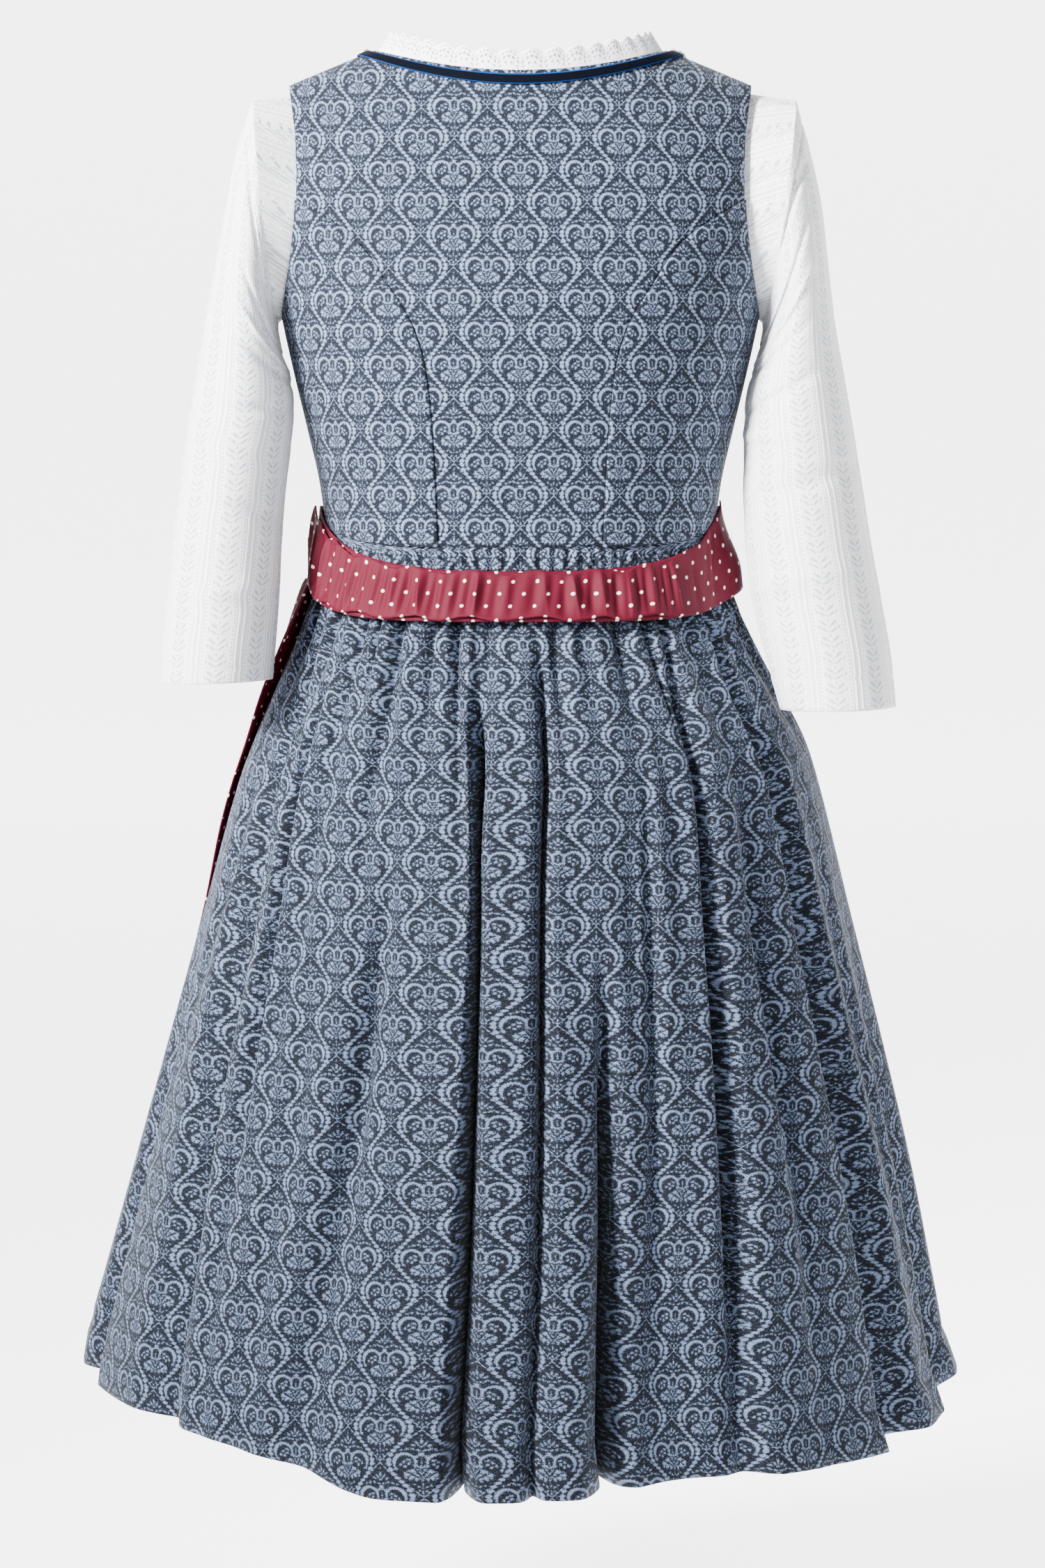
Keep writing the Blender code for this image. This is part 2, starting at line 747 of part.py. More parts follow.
def band_point(angle, v, lift):
    """Point of the sash round the waist, v 0 at its upper edge, lift metres out of its bed."""
    side = 1 if math.cos(angle) >= 0 else -1
    torso_angle = math.asin(math.sin(angle))
    top = torso(side, torso_angle, band_top(angle))
    share = (waist_height(angle) - band_bottom(angle)) / (waist_height(angle) - SKIRT_HEM_SIDE)
    bottom = skirt_point(angle, share)
    out = Vector((math.sin(angle), math.cos(angle), 0))
    top = top + out * (1.8 * MM + lift)
    bottom = bottom + out * (PLEAT_SWELL + 1.2 * MM + lift)
    point = top.lerp(bottom, v)
    point.z = lerp(band_top(angle), band_bottom(angle), v)
    return point


def build_sash(colour):
    quarter = math.pi / 2
    meet = 0.012

    def front(u, v):
        angle = lerp(-quarter - meet, -3 * quarter + meet, u)
        return band_point(angle, v, WALL)

    wall("apron_band", front, *BAND_GRID, colour)

    def under(u, v):
        angle = lerp(quarter, -quarter, u)
        bulge = 7 * MM * math.exp(-(((u - 0.97) / 0.05) ** 2)) * smooth_step(0.1, 0.8, v)
        point = band_point(angle, v, WALL + bulge)
        point.z += 3 * MM * smooth_step(0.8, 1.0, u) * (1 - v)
        return point

    wall("apron_tie_under", under, *BAND_GRID, colour)

    def over(u, v):
        angle = lerp(quarter, -0.78, u)
        crease = math.cos(math.tau * 17 * u + 1.3 * math.sin(9 * u)) * math.sin(math.pi * v) ** 0.6
        lift = 2 * WALL + GAP + 1.1 * MM * (1 + crease)
        return band_point(angle, 0.02 + 0.92 * v, lift)

    wall("apron_tie_over", over, *TIE_OVER_GRID, colour)


def apron_point(angle, t, waves=1.0):
    stand = lerp(APRON_STAND, APRON_STAND * 0.8, t)
    turns = APRON_GATHERS * math.remainder(angle, math.tau) / math.pi
    stand += waves * 1.8 * MM * math.cos(math.tau * turns) * (1 - smooth_step(0.1, 0.5, t))
    broad = 5 * MM * smooth_step(0.2, 0.9, t) * (1 + math.cos(6 * angle + 0.8)) / 2
    out = Vector((math.sin(angle), math.cos(angle), 0))
    return skirt_point(angle, t) + out * (stand + waves * broad)


def build_apron_panel(colour):
    def surface(u, v):
        edge_left = math.radians(lerp(274, 256, smooth_step(0, 0.6, v)))
        edge_right = math.radians(lerp(94, 106, smooth_step(0, 0.6, v)))
        angle = -lerp(edge_right, edge_left, u)
        start = (waist_height(angle) - band_bottom(angle) + GAP) / (waist_height(angle) - SKIRT_HEM_SIDE)
        finish = 1 - APRON_HEM_RISE / (WAIST_FRONT - SKIRT_HEM_SIDE)
        return apron_point(angle, lerp(start, finish, v ** 1.2))

    wall("apron_panel", surface, *APRON_GRID, colour)


def build_bow(colour):
    """Bow on the waistband at the wearer's left front."""
    angle = math.radians(BOW_ANGLE)
    out = Vector((math.sin(angle), math.cos(angle), 0))
    along_band = Vector((math.cos(angle), -math.sin(angle), 0))
    middle = band_point(angle, 0.45, WALL) + out * (KNOT_DEEP + GAP + 0.9 * MM)
    bm = bmesh.new()
    bmesh.ops.create_uvsphere(bm, u_segments=12, v_segments=8, radius=1.0)
    for vert in bm.verts:
        x, y, z = vert.co
        vert.co = middle + along_band * (x * KNOT_HALF) + out * (y * KNOT_DEEP)
        vert.co.z += z * KNOT_TALL
    add_object("bow_knot", bm, colour)

    for hand, side_name in ((1, "left"), (-1, "right")):

        def loop(u, v):
            far = (1 - math.cos(math.tau * u)) / 2
            reach = lerp(KNOT_HALF + GAP, LOOP_REACH, far)
            fat = LOOP_FAT * math.sin(math.tau * u) * (0.25 + 0.75 * far)
            width = lerp(14 * MM, 36 * MM, smooth_step(0, 0.8, far))
            away = along_band * (hand * reach) + out * (fat - 2 * MM * far * far)
            return middle + away + Vector((0, 0, (0.5 - v) * width - 16 * MM * far ** 1.5))

        wall(f"bow_loop_{side_name}", loop, *LOOP_GRID, colour, facing=-hand, closed=True)

        def tail(u, v):
            width = lerp(13 * MM, 34 * MM, smooth_step(0, 0.35, v))
            sideways = hand * lerp(3 * MM, 38 * MM, v) + (u - 0.5) * width
            turn = angle + sideways / TAIL_TURN_RADIUS * lerp(1.0, 0.75, v)
            height = middle.z - KNOT_TALL - GAP - TAIL_LENGTH * v
            share = (waist_height(turn) - height) / (waist_height(turn) - SKIRT_HEM_SIDE)
            stand = 2.6 * MM + (2.0 * MM * (1 - smooth_step(0.3, 0.6, v)) if hand > 0 else 0.0)
            laid = apron_point(turn, share) + Vector((math.sin(turn), math.cos(turn), 0)) * stand
            hung = middle + along_band * sideways + out * (hand * 1.2 * MM)
            hung.z = laid.z = height
            return hung.lerp(laid, smooth_step(0.0, 0.12, v))

        wall(f"bow_tail_{side_name}", tail, *TAIL_GRID, colour, facing=-1)


# Blouse

BLOUSE_NECK_SHARE = 14 / 20
BLOUSE_WIDENING = 1.5 * MM
BLOUSE_CORNER = 0.68


def blouse_patch(side):
    end = SHOULDER_HALF + BLOUSE_WIDENING

    def outer(v, sign):
        if v < BLOUSE_CORNER:
            even_share = math.acos(1 - 2 * v / BLOUSE_CORNER) / math.pi
            angle, z = armhole(side, even_share, BLOUSE_WIDENING)
        else:
            below_armpit = (v - BLOUSE_CORNER) / (1 - BLOUSE_CORNER)
            angle, z = math.pi / 2, lerp(ARMPIT, BLOUSE_HEM, below_armpit)
        return angle * sign, z

    def top(u):
        reach = abs(2 * u - 1)
        if reach > BLOUSE_NECK_SHARE:
            past_neck = (reach - BLOUSE_NECK_SHARE) / (1 - BLOUSE_NECK_SHARE)
            x = lerp(NECK_HALF + BLOUSE_NECK_INSET, end, past_neck)
            z = shoulder_height(x)
        else:
            way = reach / BLOUSE_NECK_SHARE
            turn = math.pi / 2 * way if side > 0 else turn_to_shoulder(way)
            x, z = neckline(side, turn, BLOUSE_NECK_INSET, BLOUSE_NECK_DROP_FRONT)
        x = math.copysign(x, 0.5 - u)
        return angle_of(x, z), z

    def bottom(u):
        return lerp(math.pi / 2, -math.pi / 2, u), BLOUSE_HEM

    return patch(lambda v: outer(v, 1), lambda v: outer(v, -1), top, bottom, hold=6)


def build_blouse(colour):
    for name, side, under_strap in (("blouse_back", 1, 1.2 * MM), ("blouse_front", -1, 3.4 * MM)):

        def depth(u, v):
            off_crest = max(smooth_step(0, 0.08, v), 1 - smooth_step(0.62, BLOUSE_NECK_SHARE, abs(2 * u - 1)))
            return BLOUSE_DEPTH + under_strap * (1 - smooth_step(0.3, 0.55, v)) * off_crest

        laid = on_torso(side, 1, blouse_patch(side), ease_shoulder)
        wall(name, laid, *BLOUSE_GRID, colour, facing=side, depth=depth, thickness=BLOUSE_WALL)
    for rows, hand, side_name in ((SLEEVE_LEFT, 1, "left"), (SLEEVE_RIGHT, -1, "right")):
        sleeve = sleeve_surface(rows, hand)
        wall(f"blouse_sleeve_{side_name}", sleeve, *SLEEVE_GRID, colour, facing=hand, closed=True)


def sleeve_ring(turn):
    """Edge of the armhole in the blouse, turn 0 at the shoulder, 90 degrees behind, 180 at the armpit."""
    turn = math.remainder(turn, math.tau)
    side = 1 if turn >= 0 else -1
    angle, z = armhole(side, abs(turn) / math.pi, BLOUSE_WIDENING)
    point = torso(side, angle, z)
    centre = Vector((0.122, 0, (ARMPIT + shoulder_height(SHOULDER_HALF)) / 2))
    inward = (centre - point).normalized()
    return point + Vector((0, inward.y, inward.z)) * BLOUSE_DEPTH + Vector((1.0 * MM, 0, 0))


def sleeve_surface(rows, hand):
    """Sleeve from the armhole to the cuff through its sections, u round it and v down it."""
    Row = namedtuple("Row", "at outer_x outer_z inner_x inner_z deep back")
    stations = [Row((i + 1) / len(rows), *row) for i, row in enumerate(rows)]

    def surface(u, v):
        turn = math.tau * u
        at = max(v, stations[0].at)
        values = {name: along(stations, at, name) for name in Row._fields[1:]}
        outer = Vector((values["outer_x"], 0, values["outer_z"]))
        inner = Vector((values["inner_x"], 0, values["inner_z"]))
        middle = (outer + inner) / 2
        across = (outer - inner) / 2
        point = middle + across * math.cos(turn)
        point.y = values["back"] + values["deep"] * math.sin(turn)
        if v < stations[0].at:
            point = sleeve_ring(turn).lerp(point, smooth_step(0, stations[0].at, v))
        return Vector((point.x * hand, point.y, point.z))

    return surface


def build_frill(colour):
    """Scalloped lace frill that stands up from the neckline of the blouse."""

    def surface(u, v):
        base = round_neck(u, FRILL_INSET, BLOUSE_NECK_DROP_FRONT)
        scallop = SCALLOP_DEPTH * abs(math.sin(math.pi * FRILL_SCALLOPS * u))
        height = (FRILL_HEIGHT - SCALLOP_DEPTH + scallop) * (1 - v)
        sideways = math.sin(math.tau * u) ** 2
        lean = FRILL_LEAN + FRILL_LEAN_AT_SIDES * sideways
        centre = Vector((0, -0.012, base.z))
        inward = (centre - base).normalized()
        depth = inward * BLOUSE_DEPTH
        return base + depth + (inward * lean + Vector((0, 0, 1 - lean * 0.3))) * height

    wall("blouse_neck_frill", surface, *FRILL_GRID, colour, thickness=FRILL_WALL, closed=True)


def main():
    for old in list(bpy.data.objects):
        bpy.data.objects.remove(old)
    collection = bpy.data.collections.new("dirndl")
    bpy.context.scene.collection.children.link(collection)
    damask = cloth("blue damask cotton", DAMASK)
    velvet = cloth("navy velvet ribbon", VELVET, 0.6)
    crimson = cloth("dotted crimson cotton", CRIMSON)
    white = cloth("white blouse cotton", WHITE)
    pewter = cloth("pewter button", PEWTER, 0.4, 1.0)
    build_bodice(damask)
    build_casing(damask)
    build_ribbon(velvet)
    build_front_closure(damask, pewter)
    build_skirt(damask)
    build_sash(crimson)
    build_apron_panel(crimson)
    build_bow(crimson)
    build_blouse(white)
    build_frill(white)


main()
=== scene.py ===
"""Looks of a dirndl worn by nobody, seen from behind: damask dress, dotted apron, short lace blouse.

The wearer faces -Y, the wearer's left is +X and +Z is up. The camera stands behind, on the +Y side.
Every cloth is a thin shell on the form of its solid, with creases and gathers placed one by one.
"""

import logging
import math
from collections.abc import Callable, Sequence
from dataclasses import dataclass, field
from enum import Enum
from typing import NamedTuple

import bmesh
import bpy
import numpy as np
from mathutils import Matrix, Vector


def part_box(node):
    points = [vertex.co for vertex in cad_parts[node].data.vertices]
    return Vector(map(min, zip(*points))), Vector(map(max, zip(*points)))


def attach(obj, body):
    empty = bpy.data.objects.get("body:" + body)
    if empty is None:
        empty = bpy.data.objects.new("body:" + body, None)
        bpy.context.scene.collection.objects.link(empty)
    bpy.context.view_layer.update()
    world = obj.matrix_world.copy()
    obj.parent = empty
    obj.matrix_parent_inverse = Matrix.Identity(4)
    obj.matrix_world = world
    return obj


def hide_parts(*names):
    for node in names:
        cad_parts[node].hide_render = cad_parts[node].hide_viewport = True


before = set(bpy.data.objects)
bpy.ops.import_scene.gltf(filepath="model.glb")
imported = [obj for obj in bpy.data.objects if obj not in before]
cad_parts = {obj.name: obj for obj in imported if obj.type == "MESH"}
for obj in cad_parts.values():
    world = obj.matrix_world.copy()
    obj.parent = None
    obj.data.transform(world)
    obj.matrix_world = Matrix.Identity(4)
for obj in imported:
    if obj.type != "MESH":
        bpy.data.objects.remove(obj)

LOG = logging.getLogger("dirndl")
MM = 0.001
ROOT = "root"
QUARTER = math.pi / 2
Array = np.ndarray
Number = float | np.ndarray
Surface = Callable[[Array, Array], Array]
Depth = Callable[[Array, Array], Array]
Border = Callable[[Array], tuple[Array, Array]]
Inside = Callable[[Array, Array], tuple[Array, Array]]
Ease = Callable[[Array], Array]
Material = bpy.types.Material
Tree = bpy.types.NodeTree
Socket = bpy.types.NodeSocket


# Plain helpers


def lerp(a: Number, b: Number, share: Number) -> Number:
    """Value between a and b, for numbers or arrays.

    Args:
        a: Value at share 0.
        b: Value at share 1.
        share: How far from a to b.

    Returns:
        The value in between.
    """
    return a + (b - a) * share


def smooth_step(start: float, end: float, at: Array) -> Array:
    """Rise from 0 at start to 1 at end with soft ends.

    Args:
        start: Where the rise begins.
        end: Where it is complete.
        at: Places to evaluate.

    Returns:
        The height at each place.
    """
    share = np.clip((np.asarray(at, float) - start) / (end - start), 0.0, 1.0)
    return share * share * (3 - 2 * share)


def signed_power(value: Array, exponent: Number) -> Array:
    """Power that keeps the sign of its base."""
    return np.sign(value) * np.abs(value) ** exponent


def wrapped(angle: Array) -> Array:
    """Angle brought between minus half a turn and half a turn."""
    return (np.asarray(angle) + math.pi) % math.tau - math.pi


def bell(away: Array, half: float) -> Array:
    """Soft bump of height 1 and half width half."""
    near = np.clip(np.abs(away) / half, 0.0, 1.0)
    return (1 + np.cos(math.pi * near)) / 2


def ridge(at: Array, middle: float, half: float) -> Array:
    """Rounded ridge of height 1 that falls to about a third at its half width."""
    return np.exp(-(((at - middle) / half) ** 2))


def along(rows: Sequence[NamedTuple], at: Array, column: str) -> Array:
    """Value of a named column on a smooth curve through the rows.

    Args:
        rows: Rows of a table, sorted by their first column.
        at: Places along the first column.
        column: Name of the column to read.

    Returns:
        The value at each place.
    """
    keys = np.array([row[0] for row in rows], float)
    values = np.array([getattr(row, column) for row in rows], float)
    slopes = np.diff(values) / np.diff(keys)
    before, after = slopes[:-1], slopes[1:]
    together = before * after > 0
    total = np.where(together, before + after, 1.0)
    inner = np.where(together, 2 * before * after / total, 0.0)
    tangents = np.concatenate([slopes[:1], inner, slopes[-1:]])
    at = np.clip(np.asarray(at, float), keys[0], keys[-1])
    low = np.clip(np.searchsorted(keys, at, side="left") - 1, 0, len(keys) - 2)
    span = keys[low + 1] - keys[low]
    s = (at - keys[low]) / span
    rise, land = tangents[low] * span, tangents[low + 1] * span
    start = values[low] * (1 + 2 * s) * (1 - s) ** 2 + rise * s * (1 - s) ** 2
    return start + values[low + 1] * s * s * (3 - 2 * s) + land * s * s * (s - 1)


def stacked(x: Number, y: Number, z: Number) -> Array:
    """Points from their three coordinates."""
    return np.stack(np.broadcast_arrays(x, y, z), axis=-1)


def spans(points: Array, axis: int) -> Array:
    """Distances between neighbouring points along one axis of a grid."""
    return np.linalg.norm(np.diff(points, axis=axis), axis=-1)


def outward(angle: Array) -> Array:
    """Level direction away from the middle line at an angle, 0 behind and positive towards +X."""
    return stacked(np.sin(angle), np.cos(angle), 0.0)


# Tables of the form, in metres, as in the solids


class Section(NamedTuple):
    """Torso cut: height, half width, depth behind the side seam and in front of it."""

    z: float
    half: float
    back: float
    front: float


class Edge(NamedTuple):
    """Place on a seam or an armhole: height and half width."""

    z: float
    half: float


class Flare(NamedTuple):
    """Skirt cut: height at the side seam, half width and lean of the middle to -X."""

    z: float
    half: float
    lean: float


class Hem(NamedTuple):
    """Height of the hem at an angle in degrees."""

    angle: float
    z: float


class Fold(NamedTuple):
    """Skirt fold: angles at waist and hem, reach along the skirt, depth and half width at the hem."""

    top: float
    hem: float
    start: float
    full: float
    depth: float
    at_hem: float
    half: float


class SleeveCut(NamedTuple):
    """Sleeve cut: share of the length, outer and inner line, half depth and lean backwards."""

    at: float
    outer_x: float
    outer_z: float
    inner_x: float
    inner_z: float
    deep: float
    back: float


class Crease(NamedTuple):
    """Soft crease on the torso: place, length, tilt in degrees, half width and height, in metres."""

    x: float
    z: float
    length: float
    tilt: float
    half: float
    rise: float


def table(kind: type, *rows: tuple) -> tuple:
    """Rows of one kind, each from its bare values."""
    return tuple(kind(*row) for row in rows)


TORSO = table(
    Section,
    (-0.310, 0.1100, 0.0850, 0.0850), (-0.280, 0.1100, 0.0850, 0.0850), (-0.248, 0.1134, 0.0880, 0.0890),
    (-0.216, 0.1204, 0.0920, 0.0940), (-0.184, 0.1280, 0.0945, 0.0965), (-0.152, 0.1350, 0.0940, 0.0950),
    (-0.120, 0.1405, 0.0880, 0.0880), (-0.088, 0.1450, 0.0800, 0.0790), (-0.056, 0.1465, 0.0700, 0.0670),
    (-0.020, 0.1500, 0.0560, 0.0500), (0.036, 0.1500, 0.0500, 0.0420),
)
ARMHOLE_BACK = table(
    Edge,
    (-0.152, 0.1350), (-0.140, 0.1325), (-0.120, 0.1290), (-0.087, 0.1258), (-0.056, 0.1265),
    (-0.035, 0.1290), (-0.0195, 0.1316),
)
ARMHOLE_FRONT = table(
    Edge,
    (-0.152, 0.1350), (-0.140, 0.1290), (-0.120, 0.1225), (-0.087, 0.1180), (-0.056, 0.1210),
    (-0.035, 0.1270), (-0.0195, 0.1316),
)
PRINCESS = table(
    Edge,
    (-0.305, 0.0452), (-0.287, 0.0457), (-0.248, 0.0472), (-0.209, 0.0495), (-0.179, 0.0533),
    (-0.158, 0.0599), (-0.137, 0.0724), (-0.114, 0.0879), (-0.105, 0.0979), (-0.087, 0.1258),
)
SKIRT = table(
    Flare,
    (-0.750, 0.2520, 0.0000), (-0.728, 0.2462, -0.0018), (-0.704, 0.2404, -0.0008),
    (-0.632, 0.2232, 0.0020), (-0.560, 0.2046, 0.0034), (-0.488, 0.1855, 0.0042), (-0.416, 0.1665, 0.0050),
    (-0.392, 0.1580, 0.0056), (-0.360, 0.1425, 0.0040), (-0.344, 0.1345, 0.0030), (-0.328, 0.1270, 0.0020),
    (-0.312, 0.1200, 0.0010), (-0.296, 0.1130, 0.0000), (-0.286, 0.1100, 0.0000),
)
HEM = table(
    Hem,
    (-180, -0.764), (-110, -0.756), (-90, -0.753), (-72, -0.767), (-52, -0.776), (-31, -0.776),
    (-8, -0.781), (8, -0.783), (17, -0.783), (28, -0.771), (42, -0.761), (64, -0.753), (90, -0.747),
    (110, -0.754), (180, -0.764),
)
FOLDS = table(
    Fold,
    (9.8, 6.9, 0.04, 0.46, 0.034, 1.00, 0.0150), (-3.0, -1.8, 0.02, 0.30, 0.010, 0.45, 0.0160),
    (-13.5, -11.5, 0.38, 0.85, 0.034, 1.00, 0.0210), (-21.0, -21.0, 0.35, 0.90, 0.020, 1.00, 0.0620),
    (-37.0, -30.5, 0.05, 0.42, 0.020, 0.50, 0.0190), (-60.0, -60.0, 0.02, 0.45, 0.022, 0.90, 0.0260),
    (70.0, 52.0, 0.02, 0.40, 0.014, 0.60, 0.0280), (25.0, 28.5, 0.30, 0.60, 0.008, 0.70, 0.0300),
    (-80.0, -78.0, 0.30, 0.90, 0.012, 1.00, 0.0300), (84.0, 76.0, 0.35, 0.90, 0.012, 1.00, 0.0260),
    (112.0, 108.0, 0.10, 0.70, 0.020, 1.00, 0.0340), (146.0, 140.0, 0.10, 0.70, 0.018, 1.00, 0.0380),
    (176.0, 172.0, 0.10, 0.70, 0.014, 1.00, 0.0400), (-152.0, -150.0, 0.10, 0.70, 0.020, 1.00, 0.0380),
    (-116.0, -112.0, 0.10, 0.70, 0.018, 1.00, 0.0340),
)
SLEEVE_LEFT = table(
    SleeveCut,
    (1 / 12, 0.1520, -0.0265, 0.1385, -0.1535, 0.0500, 0.000),
    (2 / 12, 0.1618, -0.0570, 0.1385, -0.1580, 0.0520, 0.001),
    (3 / 12, 0.1676, -0.0884, 0.1370, -0.1660, 0.0520, 0.003),
    (4 / 12, 0.1736, -0.1204, 0.1345, -0.1750, 0.0510, 0.006),
    (5 / 12, 0.1792, -0.1524, 0.1305, -0.1870, 0.0490, 0.010),
    (6 / 12, 0.1844, -0.1844, 0.1288, -0.2030, 0.0475, 0.014),
    (7 / 12, 0.1892, -0.2164, 0.1303, -0.2240, 0.0465, 0.018),
    (8 / 12, 0.1936, -0.2484, 0.1335, -0.2510, 0.0460, 0.021),
    (9 / 12, 0.1976, -0.2804, 0.1356, -0.2804, 0.0460, 0.024),
    (10 / 12, 0.2010, -0.3110, 0.1370, -0.3110, 0.0460, 0.027),
    (11 / 12, 0.2040, -0.3390, 0.1388, -0.3360, 0.0465, 0.030),
    (12 / 12, 0.2050, -0.3580, 0.1405, -0.3560, 0.0470, 0.031),
)
SLEEVE_RIGHT = table(
    SleeveCut,
    (1 / 12, 0.1570, -0.0290, 0.1385, -0.1535, 0.0500, 0.000),
    (2 / 12, 0.1650, -0.0570, 0.1385, -0.1580, 0.0520, 0.001),
    (3 / 12, 0.1715, -0.0884, 0.1370, -0.1660, 0.0530, 0.004),
    (4 / 12, 0.1750, -0.1204, 0.1345, -0.1750, 0.0530, 0.008),
    (5 / 12, 0.1785, -0.1524, 0.1305, -0.1870, 0.0520, 0.013),
    (6 / 12, 0.1838, -0.1844, 0.1275, -0.2030, 0.0510, 0.018),
    (7 / 12, 0.1890, -0.2164, 0.1268, -0.2240, 0.0500, 0.024),
    (8 / 12, 0.1938, -0.2484, 0.1262, -0.2510, 0.0495, 0.030),
    (9 / 12, 0.1985, -0.2804, 0.1275, -0.2804, 0.0490, 0.036),
    (10 / 12, 0.2040, -0.3124, 0.1315, -0.3124, 0.0480, 0.042),
    (11 / 12, 0.2090, -0.3444, 0.1380, -0.3424, 0.0475, 0.050),
    (12 / 12, 0.2110, -0.3700, 0.1460, -0.3720, 0.0460, 0.058),
)


# Forms that the pieces lie on


@dataclass(frozen=True)
class TorsoForm:
    """Shape of the bodice and of the edges drawn on it, in metres."""

    roundness: float = 2.3
    seam: float = 0.01 * MM
    neck_half: float = 84 * MM
    neck_drop_back: float = 15 * MM
    neck_drop_front: float = 98 * MM
    shoulder_half: float = 131.6 * MM
    shoulder_slope: float = 0.425
    shoulder_round: float = 70 * MM
    neck_softening: float = 30 * MM
    armpit: float = -152 * MM
    waist_side: float = -286 * MM
    waist_back: float = -302 * MM
    waist_front: float = -290 * MM

    def shoulder_height(self, x: Array) -> Array:
        """Height of the shoulder line at a place beside the neck."""
        inner = math.hypot(self.neck_half, self.neck_softening)
        return self.shoulder_slope * (inner - np.hypot(x, self.neck_softening))

    def point(self, side: int, angle: Array, z: Array) -> Array:
        """Point of the torso.

        Args:
            side: 1 behind the side seams and -1 in front of them.
            angle: Angle from the middle, positive towards +X.
            z: Height.

        Returns:
            The points.
        """
        half = along(TORSO, z, "half")
        depth = along(TORSO, z, "back" if side > 0 else "front")
        power = 2 / self.roundness
        x = half * signed_power(np.sin(angle), power)
        under = np.clip((self.shoulder_height(x) - z) / self.shoulder_round, 0.0, 1.0)
        crest = np.sqrt(1 - (1 - under) ** 2)
        y = depth * crest * np.abs(np.cos(angle)) ** power
        return stacked(x, side * (self.seam / 2 + y), z)

    def girth(self, side: int, angle: Array, z: Array) -> Array:
        """Length round the torso from the middle to this angle at this height.

        Args:
            side: 1 behind the side seams and -1 in front of them.
            angle: Angle from the middle, positive towards +X.
            z: Height.

        Returns:
            The length, with the sign of the angle.
        """
        turns, lengths = self.ring(side)
        share = along(TORSO, z, "half") / along(TORSO, np.array([self.armpit]), "half")
        return np.sign(angle) * np.interp(np.abs(angle), turns, lengths) * share

    def ring(self, side: int) -> tuple[Array, Array]:
        """Angles from the middle to the side at armpit height, and the lengths round the torso to them."""
        turns = np.linspace(0, QUARTER, 91)
        points = self.point(side, turns, np.full(turns.shape, self.armpit))
        return turns, np.concatenate([[0.0], np.cumsum(np.linalg.norm(np.diff(points, axis=0), axis=-1))])

    def turn_at(self, side: int, reach: Array, z: Array) -> Array:
        """Angle at which the length round the torso from the middle is this, the other way about."""
        turns, lengths = self.ring(side)
        share = along(TORSO, z, "half") / along(TORSO, np.array([self.armpit]), "half")
        return np.sign(reach) * np.interp(np.abs(reach) / share, lengths, turns)

    def angle_of(self, x: Array, z: Array) -> Array:
        """Angle at which the torso has this half width at this height."""
        share = np.clip(np.abs(x) / along(TORSO, z, "half"), 0.0, 1.0)
        return np.sign(x) * np.arcsin(share ** (self.roundness / 2))

    def waist_height(self, angle: Array) -> Array:
        """Height of the seam between bodice and skirt."""
        c = np.cos(angle)
        behind = lerp(self.waist_side, self.waist_back, 1 - (1 - np.clip(c, 0, 1)) ** 1.5)
        ahead = lerp(self.waist_side, self.waist_front, 1 - (1 + np.clip(c, -1, 0)) ** 1.5)
        return np.where(c >= 0, behind, ahead)

    def seam_turn(self, z: Array) -> Array:
        """Angle that half a seam takes up at this height."""
        return self.seam / 2 / along(TORSO, z, "half") * 1.6

    def armhole(self, side: int, share: Array, widen: float = 0.0) -> tuple[Array, Array]:
        """Angle and height on the armhole edge.

        Args:
            side: 1 behind and -1 in front.
            share: 0 at the shoulder end and 1 at the armpit.
            widen: How much further out the edge lies at the shoulder.

        Returns:
            The angles and heights.
        """
        rows = ARMHOLE_BACK if side > 0 else ARMHOLE_FRONT
        eased = (1 - np.cos(math.pi * np.asarray(share, float))) / 2
        z = lerp(self.shoulder_height(self.shoulder_half + widen), self.armpit, eased)
        x = along(rows, z, "half") + widen * (1 - eased)
        return self.angle_of(x, z), z

    def neckline(self, side: int, turn: Array, inset: float, drop_front: float) -> tuple[Array, Array]:
        """Half width and height on the neckline.

        Args:
            side: 1 behind and -1 in front.
            turn: 0 at the middle and a quarter turn at the shoulder.
            inset: How far the line is moved away from the neck.
            drop_front: Depth of the neckline in front.

        Returns:
            The half widths and heights.
        """
        radius = self.neck_half + inset
        drop, x_power, z_power = (self.neck_drop_back, 1.0, 2.0) if side > 0 else (drop_front, 0.72, 0.72)
        x = radius * np.clip(np.sin(turn), 0, 1) ** x_power
        down = np.clip(np.cos(turn), 0, 1) ** z_power
        return x, lerp(self.shoulder_height(radius), -drop - inset, down)

    def open_top(
        self, side: int, u: Array, share: float, inset: float, widen: float, drop_front: float
    ) -> tuple[Array, Array]:
        """Top edge of a body panel: shoulder line, neckline and shoulder line.

        Args:
            side: 1 for the back, -1 for the front.
            u: Share of the edge, from +X to -X.
            share: Share of the edge that the neckline takes up.
            inset: How far the neckline lies inside that of the bodice.
            widen: How far the shoulder lines run on past those of the bodice.
            drop_front: Depth of the neckline in front.

        Returns:
            Angle and height.
        """
        reach = np.abs(2 * u - 1)
        past = (reach - share) / (1 - share)
        strap_x = lerp(self.neck_half + inset, self.shoulder_half + widen, past)
        way = np.clip(reach / share, 0, 1)
        turn = QUARTER * way if side > 0 else turn_to_shoulder(way)
        neck_x, neck_z = self.neckline(side, turn, inset, drop_front)
        on_strap = reach > share
        x = np.copysign(np.where(on_strap, strap_x, neck_x), 0.5 - u)
        z = np.where(on_strap, self.shoulder_height(strap_x), neck_z)
        return self.angle_of(x, z), z

